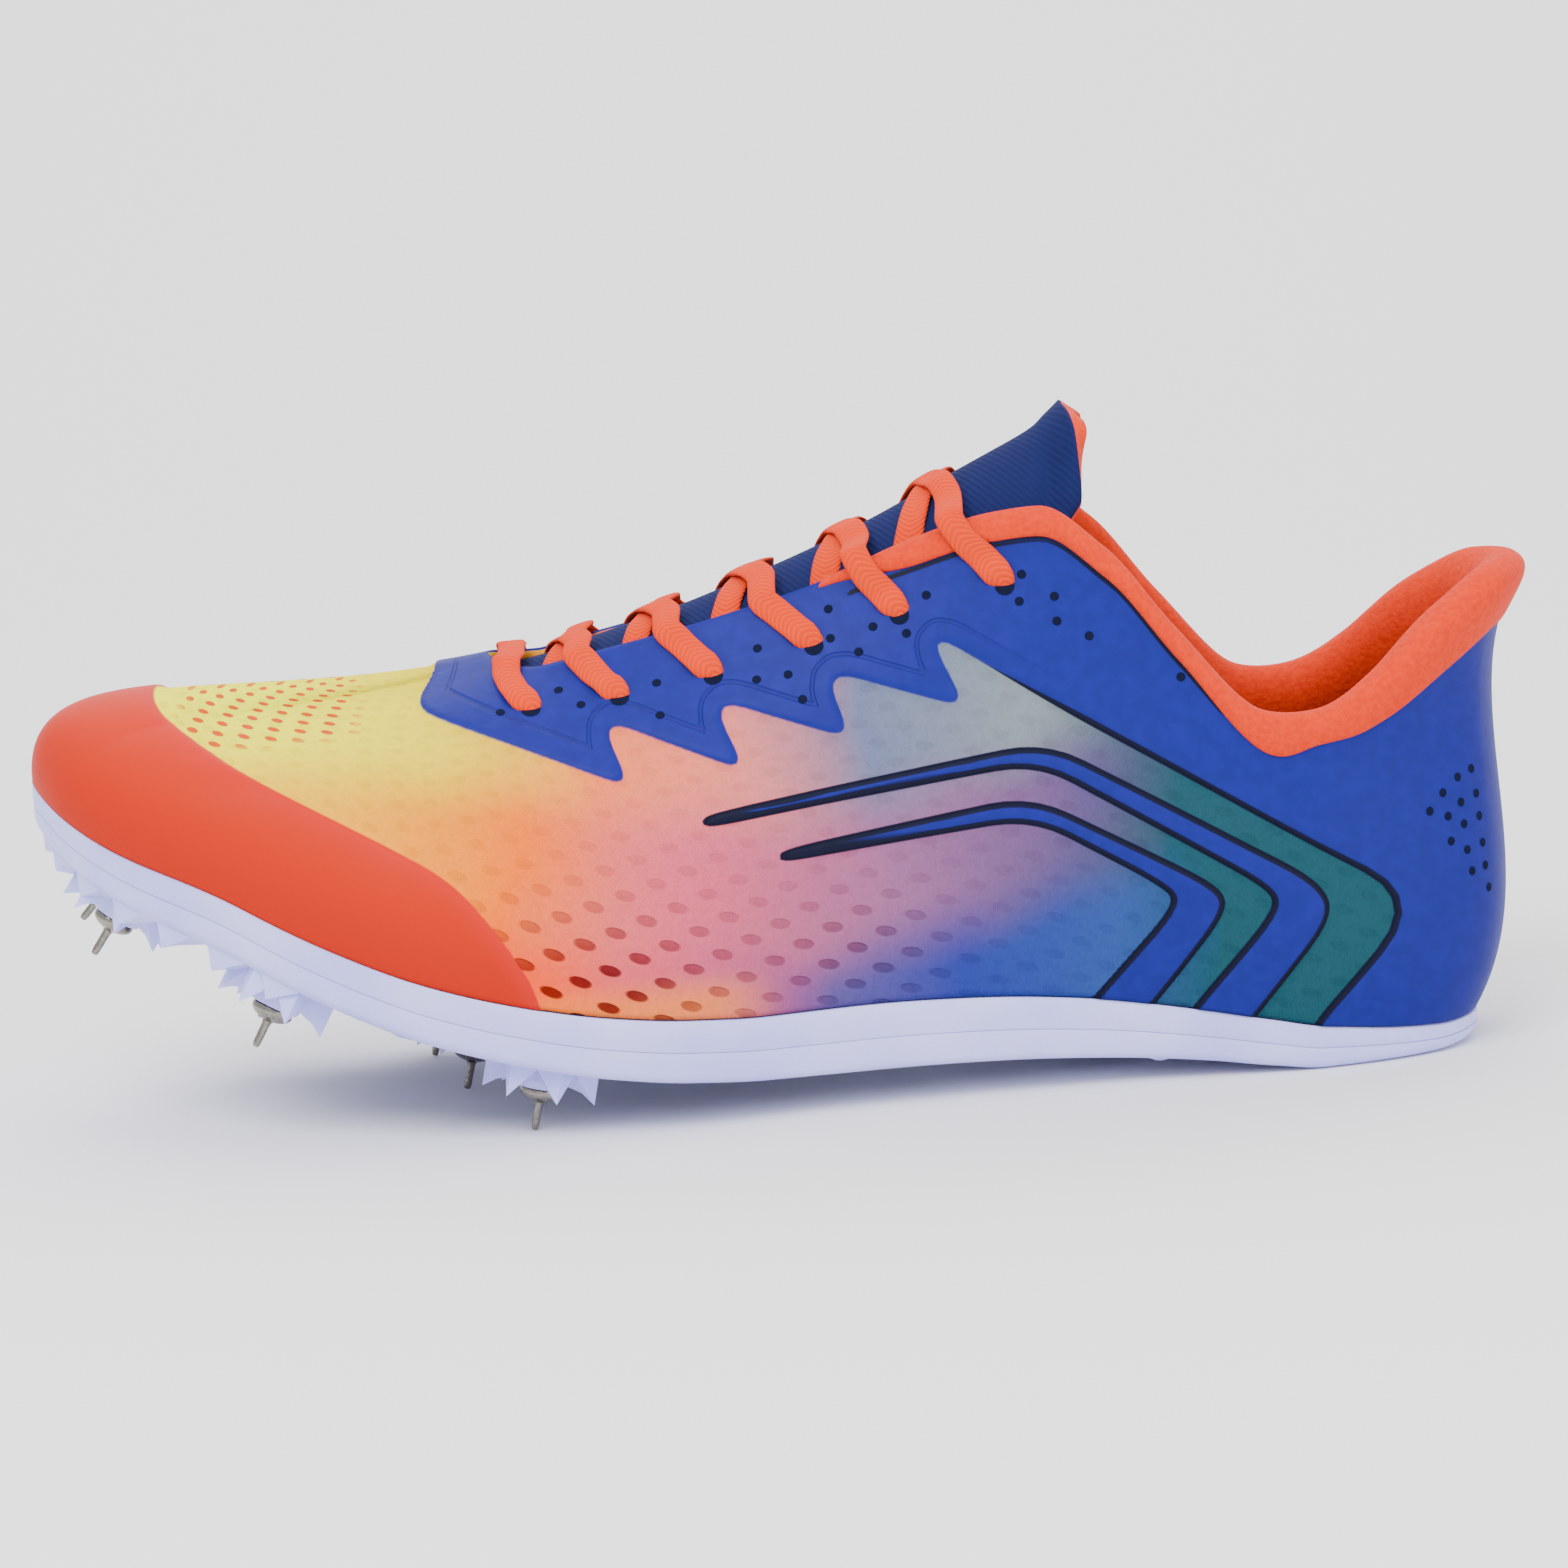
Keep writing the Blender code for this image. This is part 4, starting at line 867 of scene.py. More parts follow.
def addCollar(settings):
    # fourteen points a section, from the outer band over the edge and down the padded inside;
    # the subdivision rounds them
    q = np.linspace(settings["first"], 2 - settings["first"], settings["stations"])
    turn = sideAndTurn(q)[1]
    start = softStep(turn, settings["first"], settings["first"] + 0.05)
    pad = settings["pad"] * curveThrough(np.array([0.60, 0.72]), np.array([0.0, 1.0]), turn, True)
    gap, wall = form["clearance"] / 2, form["wall"]
    bands = curveThrough(np.array(settings["bandTurns"]), np.array(settings["bands"]), turn)
    band = bands / 1000 * (0.3 + 0.7 * start)
    depth = settings["depth"] * (0.25 + 0.75 * start)
    skin = settings["skin"] * (0.35 + 0.65 * start)
    low, deep = shareFromEdge(q, band), shareFromEdge(q, depth)
    brow, belly = shareFromEdge(q, 0.0012), shareFromEdge(q, depth * 0.45)
    up = edgeLine(q) - upperFace(q, 0.98)
    up /= np.linalg.norm(up, axis=-1, keepdims=True)
    one = np.ones_like(q)

    def at(t, offset, lift=0.0):
        return upperOffset(q, t, offset * one) + np.asarray(lift * one)[:, None] * up

    film = upperSettings["film"]
    loops = [
        at(low, film * 0.6),
        at(low, film + skin * 0.55),
        at(shareFromEdge(q, band * 0.6), film + skin),
        at(brow, film + skin * 1.05),
        at(one, film * 0.9, gap + skin * 1.15),
        at(one, -wall / 2 - pad * 0.2, gap + skin * 1.5),
        at(one, -wall - gap - pad * 0.5, gap + skin),
        at(brow, -wall - gap - skin - pad * 0.8),
        at(belly, -wall - gap - skin - pad),
        at(deep, -wall - gap - skin * 0.8),
        at(deep, -wall + gap),
        at(brow, -wall + gap),
        at(one, -wall / 2, gap * 0.5),
        at(brow, film * 0.5),
    ]
    knit = fabricFinish("collarKnit", settings["light"], settings["dark"], 0.00025)
    piece = addGrid("collarLining", np.stack(loops, axis=1), knit, closedColumns=True, caps=True)
    rounding = piece.modifiers.new("rounding", "SUBSURF")
    rounding.levels = rounding.render_levels = 2
    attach(piece, "root")
    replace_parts(piece, "collar_lining")


addCollar(collarSettings)
print("collar made")


# Tongue: rows under one facing, over the throat and under the other, then its free top

tongueSettings = {
    "thick": 0.0046,
    "top": 0.129,
    "lastTurn": 0.60,
    "tuck": 0.009,
    "blues": ((24, 48, 108), (31, 60, 130), (20, 40, 100)),
    "light": (0.74, 0.048, 0.004),
    "dark": (0.62, 0.032, 0.003),
}
tongueCrown = columns(
    "turn crown",
    (0.000, 0.002),
    (0.188, 0.012),
    (0.287, 0.024),
    (0.362, 0.030),
    (0.420, 0.038),
    (0.471, 0.055),
    (0.525, 0.075),
    (0.570, 0.105),
    (0.600, 0.135),
)


def underFacing(turn):
    # how deep the tongue lies under the outer face: deeper where the collar's skin comes between
    collared = np.clip((turn - 0.47) / 0.02, 0, 1)
    skin = collarSettings["skin"] + form["clearance"]
    return form["wall"] + form["clearance"] + collared * skin


def tonguePoint(turn, share):
    # between the facings' undersides, crowned by a parabola across the throat
    turn, share = np.broadcast_arrays(np.asarray(turn, float), np.asarray(share, float))
    under, one = -underFacing(turn), np.ones_like(turn)
    near, far = upperOffset(turn, one, under), upperOffset(2 - turn, one, under)
    crown = curveThrough(tongueCrown["turn"], tongueCrown["crown"], turn) * form["instepHeight"]
    point = near + (far - near) * share[..., None]
    point[..., 2] += crown * (1 - (2 * share - 1) ** 2)
    return point


def tongueFinish(blues):
    # fine slanting ribs
    graph = Graph("tongueMesh", 0.8, Specular_IOR_Level=0.08)
    x, y, z = graph.axes(graph.place())
    ribs = ((x * 0.8 + z * 0.6 + y * 0.3) * 5200.0).maths("SINE") * 0.5 + 0.5
    grain = graph.noise(1300.0, 2.0)
    deep, bright, dim = [dye(*colour) for colour in blues]
    tone = graph.blend(ribs * 0.4 + grain * 0.6, deep, bright)
    soft = graph.noise(60.0, 2.0)
    tone = graph.blend(graph.step(soft, 0.35, 0.7) * 0.4, tone, dim)
    return graph.finish(tone, ribs * 0.5 + grain * 0.5, 0.00015)


def addTongue(settings):
    # rows from tuck to tuck, then a free top whose height follows a rounded curve across
    turns = np.concatenate([[0.0, 0.1, 0.2], np.linspace(0.28, settings["lastTurn"], 14)])
    shares = np.linspace(0, 1, 9)
    throat = tonguePoint(turns[:, None], shares[None, :])
    tucks = np.array([settings["tuck"], settings["tuck"] / 2])
    sides = []
    for flip in (False, True):
        rows = []
        for turn in turns:
            ribs = np.full(2, 2 - turn if flip else turn)
            depth = np.full(2, -underFacing(turn))
            rows.append(upperOffset(ribs, shareFromEdge(ribs, tucks), depth))
        sides.append(np.array(rows))
    rows = np.concatenate([sides[0], throat, sides[1][:, ::-1]], axis=1)
    edge = edgeLine(np.array(turns[-1]))
    middle = form["axisY"] + float(sectionOf("centre", turns[-1])) * form["ballWidth"]
    half = float(sectionOf("half", turns[-1])) * form["ballWidth"]
    rise = settings["top"] - edge[2]
    across = np.linspace(-1, 1, rows.shape[1])
    rounded = np.sqrt(np.clip(1 - np.abs(across) ** 3.2, 0, 1))
    free = []
    for share in (0.35, 0.68, 0.9, 1.0):
        wide = half * (0.90 - 0.14 * share)
        x = edge[0] + 0.006 * share + 0.003 * np.abs(across) ** 2 * share
        y = middle + wide * across
        base = rows[-1][:, 2]
        z = base + (edge[2] + rise * (0.06 + 0.94 * rounded) - base) * share
        free.append(np.stack([x + 0 * y, y, z], axis=1))
    points = np.concatenate([rows, np.array(free)], axis=0)
    piece = addGrid("tongueSheet", points, tongueFinish(settings["blues"]))
    piece.data.materials.append(fabricFinish("tongueLining", settings["light"], settings["dark"]))
    fine = piece.modifiers.new("fine", "SUBSURF")
    fine.levels = fine.render_levels = 2
    wall = piece.modifiers.new("padding", "SOLIDIFY")
    wall.thickness = settings["thick"]
    wall.offset = -1
    wall.material_offset = wall.material_offset_rim = 1
    softEdge = piece.modifiers.new("softEdge", "SUBSURF")
    softEdge.levels = softEdge.render_levels = 1
    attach(piece, "root")
    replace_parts(piece, "tongue")


addTongue(tongueSettings)
print("tongue made")


# Flat laces: a bar through the first eyelets, then two strips a pair that cross on the tongue

laceSettings = {
    "turns": (0.315, 0.388, 0.438, 0.485, 0.525, 0.580),
    "drop": 0.0122,
    "wide": 0.0056,
    "lean": 0.55,
    "barShift": 0.17,
    "thick": 0.0012,
    "stations": 64,
    "round": 18,
    "oranges": ((0.62, 0.030, 0.003), (0.74, 0.050, 0.004), (0.64, 0.032, 0.003)),
    # over the tongue: share of the way across, and height above it in millimetres
    "upperStrip": ((0.10, 3.5), (0.30, 2.7), (0.50, 1.9), (0.70, 1.4), (0.86, 0.9), (0.985, -0.3)),
    "lowerStrip": ((0.10, 3.5), (0.30, 1.9), (0.50, 0.75), (0.70, 0.7), (0.86, 0.6), (0.985, -0.3)),
    "bar": ((0.10, 3.6), (0.30, 2.8), (0.50, 2.5), (0.70, 2.8), (0.90, 3.6)),
}


def laceFinish(oranges):
    # herringbone along the strip
    graph = Graph("lacedWeave", 0.85, Specular_IOR_Level=0.08, Sheen_Weight=0.04)
    along, across, _ = graph.axes(graph.add("ShaderNodeUVMap", {"uv_map": "cloth"}))
    slant = ((across * 2.0).maths("FRACT") - 0.5).maths("ABSOLUTE") * 5.0
    herring = ((along / 0.0011 + slant) * 6.2832).maths("SINE") * 0.5 + 0.5
    grain = graph.noise(1200.0, 2.0)
    deep, bright, dim = oranges
    tone = graph.blend(herring, deep, bright)
    tone = graph.blend(graph.step(grain, 0.35, 0.7) * 0.3, tone, dim)
    return graph.finish(tone, herring * 0.6 + grain * 0.4, 0.0002)


def laceOverFacing(side, turn, lean, settings):
    # out of the eyelet, slanting forward over the facing and its edge, with the way its width lies
    collared = turn > 0.49
    under = upperSettings["film"] + settings["thick"] * 0.55
    shares = np.array([1.10, 1.02, 0.84, 0.55, 0.25, 0.0])
    leaning = turn - lean * (1.02 - np.minimum(shares, 1.02))
    ribs = leaning if side < 0 else 2 - leaning
    drops = shares * settings["drop"]
    offsets = np.array([-0.0012, 0.0006, under * 1.1, under, under * 1.02, under * 1.1])
    if collared:
        offsets[-2:] += 0.0013
    shares = shareFromEdge(ribs, drops)
    points = upperOffset(ribs, shares, offsets)
    points[-1, 2] += 0.0026 if collared else 0.0004
    step = side * 0.02
    widths = upperFace(ribs - step, shares) - upperFace(ribs + step, shares)
    return points, widths


def laceOverTongue(side, start, end, stops):
    # across the tongue from one rib to another, raised by each stop's height
    points, widths = [], []
    for share, lift in stops:
        across = share if side < 0 else 1 - share
        turn = start + (end - start) * share
        points.append(tonguePoint(turn, across) + np.array([0, 0, lift / 1000]))
        widths.append(tonguePoint(turn + 0.02, across) - tonguePoint(turn - 0.02, across))
    return np.array(points), np.array(widths)


def unit(vectors):
    # vectors over their lengths
    return vectors / np.linalg.norm(vectors, axis=-1, keepdims=True)


def laceStrip(name, stretches, settings, seed, bothEnds=False):
    # a flattened ring of points carried along a smooth path; the width is drawn in at the ends
    path = np.concatenate([points for points, _ in stretches])
    wide = np.concatenate([unit(widths) for _, widths in stretches])
    way = np.concatenate([[0], np.cumsum(np.linalg.norm(np.diff(path, axis=0), axis=1))])
    stops = np.linspace(0, way[-1], settings["stations"])
    path = np.stack([curveThrough(way, path[:, i], stops) for i in range(3)], axis=1)
    wide = np.stack([curveThrough(way, wide[:, i], stops) for i in range(3)], axis=1)
    along = unit(np.gradient(path, axis=0))
    wide = unit(wide - along * np.sum(along * wide, axis=1, keepdims=True))
    thick = np.cross(along, wide)
    rng = np.random.default_rng(seed)
    ripple = np.interp(stops, np.linspace(0, way[-1], 14), rng.normal(0, 0.035, 14))
    drawn = 0.55 + 0.45 * softStep(stops, 0.0005, 0.005)
    if bothEnds:
        drawn = drawn * (0.55 + 0.45 * softStep(way[-1] - stops, 0.0005, 0.005))
    half = settings["wide"] / 2 * (drawn + ripple)
    angles = np.linspace(0, 2 * np.pi, settings["round"], endpoint=False)
    a, b = [np.sign(wave) * np.abs(wave) ** 0.75 for wave in (np.cos(angles), np.sin(angles))]
    belly = 1 + 0.12 * np.sin(stops / 0.0021 + seed)[:, None, None]
    points = path[:, None] + wide[:, None] * (half[:, None] * a)[..., None]
    points = points + thick[:, None] * (settings["thick"] / 2 * b)[None, :, None] * belly
    u = np.concatenate([stops, [stops[-1]]])[:, None]
    v = np.linspace(0, 1, settings["round"] + 1)[None, :]
    weave = bpy.data.materials.get("lacedWeave") or laceFinish(settings["oranges"])
    piece = addGrid(name, points, weave, closedColumns=True, caps=True, maps=(u, v))
    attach(piece, "root")
    return piece


def addLaces(settings):
    # each strip leaves its eyelet and slants forward to the eyelet before it on the other side
    turns = settings["turns"]
    lean = settings["lean"]
    shift = lean * settings["barShift"]
    first = turns[0] - shift
    near, far = [laceOverFacing(side, turns[0], shift, settings) for side in (-1, 1)]
    bar = [near, laceOverTongue(-1, first, first, settings["bar"]), (far[0][::-1], far[1][::-1])]
    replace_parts(laceStrip("laceBar", bar, settings, 1, bothEnds=True), "lace_bar")
    for i, (before, turn) in enumerate(zip(turns[:-1], turns[1:]), start=1):
        shift = lean * (turn - before)
        for side, word, stops in ((-1, "Outer", "upperStrip"), (1, "Inner", "lowerStrip")):
            stretches = [laceOverFacing(side, turn, shift, settings),
                         laceOverTongue(side, turn - shift, before, settings[stops])]
            piece = laceStrip(f"laceStrip{word}{i}", stretches, settings, 10 * i + side)
            if side < 0:
                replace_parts(piece, f"lace_crossing_{i}")


addLaces(laceSettings)
print("laces made")


# Eyelet holes and pin holes: shallow dark cups set in the film, painted shade where the holes are

holeSettings = {
    "eyelet": 0.0019,
    "pin": 0.00088,
    "segments": 14,
    "rings": 4,
    "search": (400, 120),
    # beside each eyelet: back along the shoe and up, in millimetres
    "besideEyelets": (
        ((5.5, 2.7), (9.7, 0.4), (-5.8, 0.0)),
        ((7.0, 2.4), (7.2, -3.0)),
        ((8.8, 4.7), (8.6, -0.8), (14.2, -0.2), (16.8, -4.5)),
        ((3.3, 6.4), (3.3, 1.2), (8.8, -1.2)),
        ((5.5, 3.3), (0.8, -3.1), (-5.3, -2.1)),
        ((3.1, 1.9), (8.8, -2.3), (2.7, -3.1), (9.0, -7.0), (15.6, -9.9), (32.6, -19.0)),
    ),
    "heelStart": (0.1318, 0.0545),
    "heelColumns": ((6, 0.0), (5, 0.8), (3, 3.5), (1, 6.2)),
    "heelPitch": (3.05, 4.7),
    "shades": ((8, 12, 34), (12, 18, 44)),
}


def addHoles(settings):
    # flat rings of points on the film, one disc a hole, placed from the eyelets and the heel
    turns, rows = settings["search"]
    q = np.arange(turns)[:, None] / turns
    t = np.linspace(0, 1, rows)[None, :]
    faces = {-1: upperFace(q, t), 1: upperFace(2 - q, t)}

    def nearest(side, x, z):
        apart = (faces[side][..., 0] - x) ** 2 + (faces[side][..., 2] - z) ** 2
        i, j = np.unravel_index(np.argmin(apart), apart.shape)
        return (q[i, 0] if side < 0 else 2 - q[i, 0]), t[0, j]

    (startX, startZ), (pitchX, pitchZ) = settings["heelStart"], settings["heelPitch"]
    places = []
    for side in (-1, 1):
        for turn, beside in zip(laceSettings["turns"], settings["besideEyelets"]):
            rib = turn if side < 0 else 2 - turn
            share = shareFromEdge(np.array([rib]), laceSettings["drop"] * 1.06)[0]
            places.append((rib, share, settings["eyelet"]))
            eyelet = upperFace(rib, share)
            for back, up in beside:
                x, z = eyelet[0] + back / 1000, eyelet[2] + up / 1000
                places.append((*nearest(side, x, z), settings["pin"]))
        for column, (count, drop) in enumerate(settings["heelColumns"]):
            for row in range(count):
                x = startX - (pitchX * column - 0.45 * row) / 1000
                z = startZ - (drop + pitchZ * row) / 1000
                places.append((*nearest(side, x, z), settings["pin"]))
    ribs, shares, radii = np.array(places).T
    normal = upperNormal(ribs, shares)
    centre = upperFace(ribs, shares) + normal * (upperSettings["film"] + 0.00006)
    first = unit(np.cross(normal, [0, 0, 1.0]))[:, None, None, :]
    second = np.cross(normal, first[:, 0, 0])[:, None, None, :]
    count, n, m = len(places), settings["rings"], settings["segments"]
    angles = np.linspace(0, 2 * np.pi, m, endpoint=False)[None, None, :, None]
    rings = np.linspace(0.02, 1, n)
    ring = np.cos(angles) * first + np.sin(angles) * second
    points = centre[:, None, None, :] + ring * (radii[:, None] * rings)[:, :, None, None]
    starts = np.arange(count)[:, None] * n * m
    faces = (ringQuads(n, m)[None] + starts[:, :, None]).reshape(-1, 4)
    middles = np.arange(m)[None, ::-1] + starts
    graph = Graph("holeShade", 0.9, Specular_IOR_Level=0.1)
    shade = graph.blend(graph.noise(500.0), *[linear(*colour) for colour in settings["shades"]])
    piece = addMesh("pinHoles", points, faces.tolist() + middles.tolist(), graph.finish(shade))
    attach(piece, "root")


addHoles(holeSettings)
print("holes made")


# Sole: sheets of one outline, stacked from the plate to the insole

soleSettings = {
    "stations": 280,
    "shares": 26,
    "plate": 0.0024,
    "bevel": 0.0024,
    "rim": 0.0054,
    "slope": 0.0040,
    "board": 0.001,
    "deck": 0.0063,
    "insole": 0.0025,
    "insoleInset": 0.0037,
    "seam": 0.5,
    "ribWidth": 0.0060,
    "wider": 0.0036,
    "hair": 0.0001,
    "lineHalf": 0.0011,
    "relief": 0.0005,
    "fabric": ((0.040, 0.042, 0.052), (0.018, 0.019, 0.026)),
    "blacks": ((8, 11, 15), (15, 19, 25)),
}
# The raised spear under the heel: places as shares of length and of ball width
spearTip = (0.872, -0.006)
spearLines = (
    ((0.728, -0.150), spearTip),
    ((0.715, 0.082), spearTip),
    ((0.735, -0.045), (0.862, -0.010)),
    ((0.775, -0.330), (0.722, -0.160)),
    ((0.712, 0.060), (0.766, 0.290)),
    ((0.728, -0.150), (0.735, -0.045)),
    ((0.735, -0.045), (0.715, 0.082)),
)
windowRows = columns(
    "start end lateralSweep medialSweep spine spineHalf lateralLimit medialLimit",
    (0.098, 0.135, 0.020, 0.020, 0.004, 0.026, 0.230, 0.215),
    (0.159, 0.204, 0.030, 0.034, -0.004, 0.038, 0.350, 0.300),
    (0.227, 0.285, 0.043, 0.036, -0.022, 0.048, 0.400, 0.300),
    (0.315, 0.366, 0.040, 0.030, -0.060, 0.056, 0.390, 0.220),
    (0.388, 0.446, 0.042, 0.024, -0.080, 0.056, 0.350, 0.130),
    (0.466, 0.522, 0.036, 0.018, -0.096, 0.048, 0.295, 0.075),
    (0.545, 0.594, 0.031, 0.017, -0.100, 0.042, 0.245, 0.055),
    (0.621, 0.667, 0.026, 0.014, -0.083, 0.036, 0.195, 0.052),
    (0.692, 0.724, 0.020, 0.012, -0.060, 0.034, 0.150, 0.055),
)


def windowRow(i):
    # one row of the windows' table
    return {name: values[i] for name, values in windowRows.items()}


def soleRing(side, inset, share, height):
    # one edge line of a sheet: the outline drawn in by an inset, at a height above the rocker
    turns = np.linspace(0, 1, soleSettings["stations"] + 1)
    middle = form["toeX"] + form["soleLength"] / 2
    full = 2.8 * (soleSettings["rim"] + soleSettings["slope"]) / 2
    width = halfWidth(side, turns)
    left = np.where(width > full, width - inset, width * (1 - inset / full))
    x = middle + (alongX(turnShare(turns)) - middle) * (1 - 2 * inset / form["soleLength"])
    y = form["axisY"] + side * share * left
    return np.stack([x, y, rocker(x, y) + height(turns)], axis=1)


def soleGrid(profile):
    # a closed loop a station: the profile on the outer side, then in reverse on the inner
    outer = [soleRing(-1, *entry) for entry in profile]
    inner = [soleRing(1, *entry) for entry in profile[-2:0:-1]]
    return np.stack(outer + inner, axis=1)


def level(height):
    # the same height all round
    return lambda turns: np.full_like(turns, height)


def bandTop(turns, lift=0.0):
    # the band's top edge, raised by a lift
    return bandHeight(turns) + lift


def seamTop(turns, lift=0.0):
    # the seam, a share of the band's height but never under the plate
    return np.maximum(soleSettings["seam"] * bandHeight(turns), soleSettings["plate"]) + lift


def deckTop(turns, lift=0.0):
    # the deck inside the rim, never over the band's top
    return np.minimum(np.full_like(turns, soleSettings["deck"]), bandHeight(turns)) + lift


def overRim(inset, outerHeight, innerHeight):
    # across the rim, down its slope and over the deck to the axis
    step, slope = soleSettings["rim"], soleSettings["slope"]
    return [
        (inset, 1, outerHeight),
        (max(inset, step), 1, outerHeight),
        (step + slope, 1, innerHeight),
        (step + slope, 0.5, innerHeight),
        (step + slope, 0, innerHeight),
    ]


plasticSettings = {
    "whites": ((196, 200, 224), (203, 207, 230)),
    "studShade": (176, 180, 210),
}


def plasticFinish(name, pad=False):
    # soft moulded white with a fine grain
    graph = Graph(name, 0.36, Specular_IOR_Level=0.45, Subsurface_Weight=0.12,
                  Subsurface_Radius=(0.004, 0.004, 0.005), Subsurface_Scale=1.0)
    x, y, z = graph.axes(graph.place())
    soft = graph.noise(45.0, 3.0)
    whites = [dye(*colour) for colour in plasticSettings["whites"]]
    tone = graph.blend(graph.step(soft, 0.3, 0.7), *whites)
    grain = graph.noise(1600.0, 2.0)
    height = grain * 0.10
    rough = 0.30 + soft * 0.18
    if pad:
        # small square studs on the heel and a rough panel at the waist
        studs, panel = graph.attribute("studs"), graph.attribute("panel")
        a = ((x * 0.94 + y * 0.34) * 2150.0).maths("SINE")
        b = ((y * 0.94 - x * 0.34) * 2150.0).maths("SINE")
        stud = graph.step(a * b, -0.1, 0.8)
        height = height + stud * studs * 2.4 + grain * panel * 0.8
        tone = graph.blend(studs * (1.0 - stud) * 0.35, tone, dye(*plasticSettings["studShade"]))
        rough = rough + panel * 0.25
    return graph.finish(tone, height, 0.0005, rough)


def lineMask(x, y, start, end, half):
    # 1 on a raised line between two places given as shares of length and of ball width
    ax, ay = alongX(start[0]), form["axisY"] + start[1] * form["ballWidth"]
    bx, by = alongX(end[0]), form["axisY"] + end[1] * form["ballWidth"]
    length = (bx - ax) ** 2 + (by - ay) ** 2
    share = np.clip(((x - ax) * (bx - ax) + (y - ay) * (by - ay)) / length, 0, 1)
    away = np.hypot(x - ax - share * (bx - ax), y - ay - share * (by - ay))
    return 1 - softStep(away, half * 0.5, half * 1.3)


def windowOutline(row, side, word):
    # corners swept back from the spine, with a bow half way
    inner = form["axisY"] + (row["spine"] + side * row["spineHalf"]) * form["ballWidth"]
    outer = form["axisY"] + side * row[f"{word}Limit"] * form["ballWidth"]
    least = soleSettings["ribWidth"] / 2
    if side * (outer - inner) < least:
        outer = inner + side * least
    shares = np.linspace(0, 1, 9)
    sweep = row[f"{word}Sweep"] * (shares * 0.7 + shares**2 * 0.3)
    y = inner + (outer - inner) * shares
    back, front = row["end"] + soleSettings["wider"], row["start"] - soleSettings["wider"]
    back, front = [np.stack([alongX(place + sweep), y], axis=1) for place in (back, front)]
    return np.concatenate([back, front[::-1]])


def cutWindows(plate):
    # upright prisms through the plate, taken out of it
    corners, faces = [], []
    for i in range(len(windowRows["start"])):
        for side, word in bothSides:
            ring = windowOutline(windowRow(i), side, word)
            for height in (-0.002, 0.075):
                corners.append(np.column_stack([ring, np.full(len(ring), height)]))
            n = len(ring)
            high = list(range(n * (len(corners) - 1), n * len(corners)))
            low = [corner - n for corner in high]
            faces += [low, high]
            faces += [(low[j - 1], low[j], high[j], high[j - 1]) for j in range(n)]
    cutter = addMesh("windowCutters", np.concatenate(corners), faces, plate.data.materials[0])
    work = bmesh.new()
    work.from_mesh(cutter.data)
    bmesh.ops.recalc_face_normals(work, faces=work.faces)
    work.to_mesh(cutter.data)
    work.free()
    step = plate.modifiers.new("windows", "BOOLEAN")
    step.operation = "DIFFERENCE"
    step.object = cutter
    graph = bpy.context.evaluated_depsgraph_get()
    cut = bpy.data.meshes.new_from_object(plate.evaluated_get(graph))
    plate.modifiers.clear()
    plate.data = cut
    bpy.data.objects.remove(cutter)


def plateMasks(points, isUnder):
    # relief and surface values of the plate's underside: how far each point is lifted, where the
    # heel's small studs lie and where the waist's rough panel lies
    x, y = points[..., 0], points[..., 1]
    across = (y - form["axisY"]) / form["ballWidth"]
    along = (x - form["toeX"]) / form["soleLength"]
    spine = np.interp(along, windowRows["start"], windowRows["spine"])
    spineHalf = np.interp(along, windowRows["start"], windowRows["spineHalf"])
    away = np.abs(across - spine) / spineHalf
    ridge = (1 - softStep(away, 0.2, 1.0)) * softStep(along, 0.085, 0.11)
    ridge = ridge * (1 - softStep(along, 0.70, 0.86))
    half = soleSettings["lineHalf"]
    raised = np.max([lineMask(x, y, start, end, half) for start, end in spearLines], axis=0)
    lift = (ridge + raised) * soleSettings["relief"] * isUnder
    border = np.where(across < 0, 0.722 - (across + 0.160) * 0.31, 0.712 + (across - 0.060) * 0.235)
    turns = np.arccos(1 - 2 * np.clip(along, 0, 1)) / np.pi
    wide = np.maximum(halfWidth(np.where(across < 0, -1, 1), turns), 1e-4)
    inset = np.abs(across) * form["ballWidth"] / wide
    studs = softStep(along, border + 0.006, border + 0.012) * (1 - softStep(along, 0.955, 0.965))
    studs = studs * (1 - softStep(inset, 0.84, 0.90)) * (1 - raised) * isUnder
    panel = (1 - softStep(along, border - 0.012, border)) * softStep(along, 0.50, 0.53)
    return lift, studs, panel * (1 - raised) * isUnder


def addPlate(settings):
    # the underside, its rounded edge, the side up to the seam, and the top
    bevel, hair = settings["bevel"], settings["hair"]
    low = bevel * 0.8
    flat = [(bevel, share, level(0.0)) for share in np.linspace(0, 1, settings["shares"])]
    bend = [(bevel * (1 - math.sin(a)), 1, level(low * (1 - math.cos(a))))
            for a in (0.4, 0.8, 1.2, math.pi / 2)]
    side = [(0, 1, lambda turns, s=s: low + (seamTop(turns) - low) * s) for s in (0.5, 0.93)]
    points = soleGrid(flat + bend + side + overRim(hair, seamTop, level(settings["plate"])))
    isUnder = np.zeros(points.shape[:2])
    isUnder[:, :len(flat)] = isUnder[:, 1 - len(flat):] = 1
    lift, studs, panel = plateMasks(points, isUnder)
    points[..., 2] -= lift * softStep(points[..., 2], 0.0, 0.0012)
    plate = addGrid("solePlate", points, plasticFinish("plateWhite", pad=True), closedColumns=True,
                    values={"studs": studs, "panel": panel})
    weld(plate)
    cutWindows(plate)
    plate.data.shade_smooth()
    plate.data.set_sharp_from_angle(angle=math.radians(38))
    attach(plate, "root")
    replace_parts(plate, "outsole")


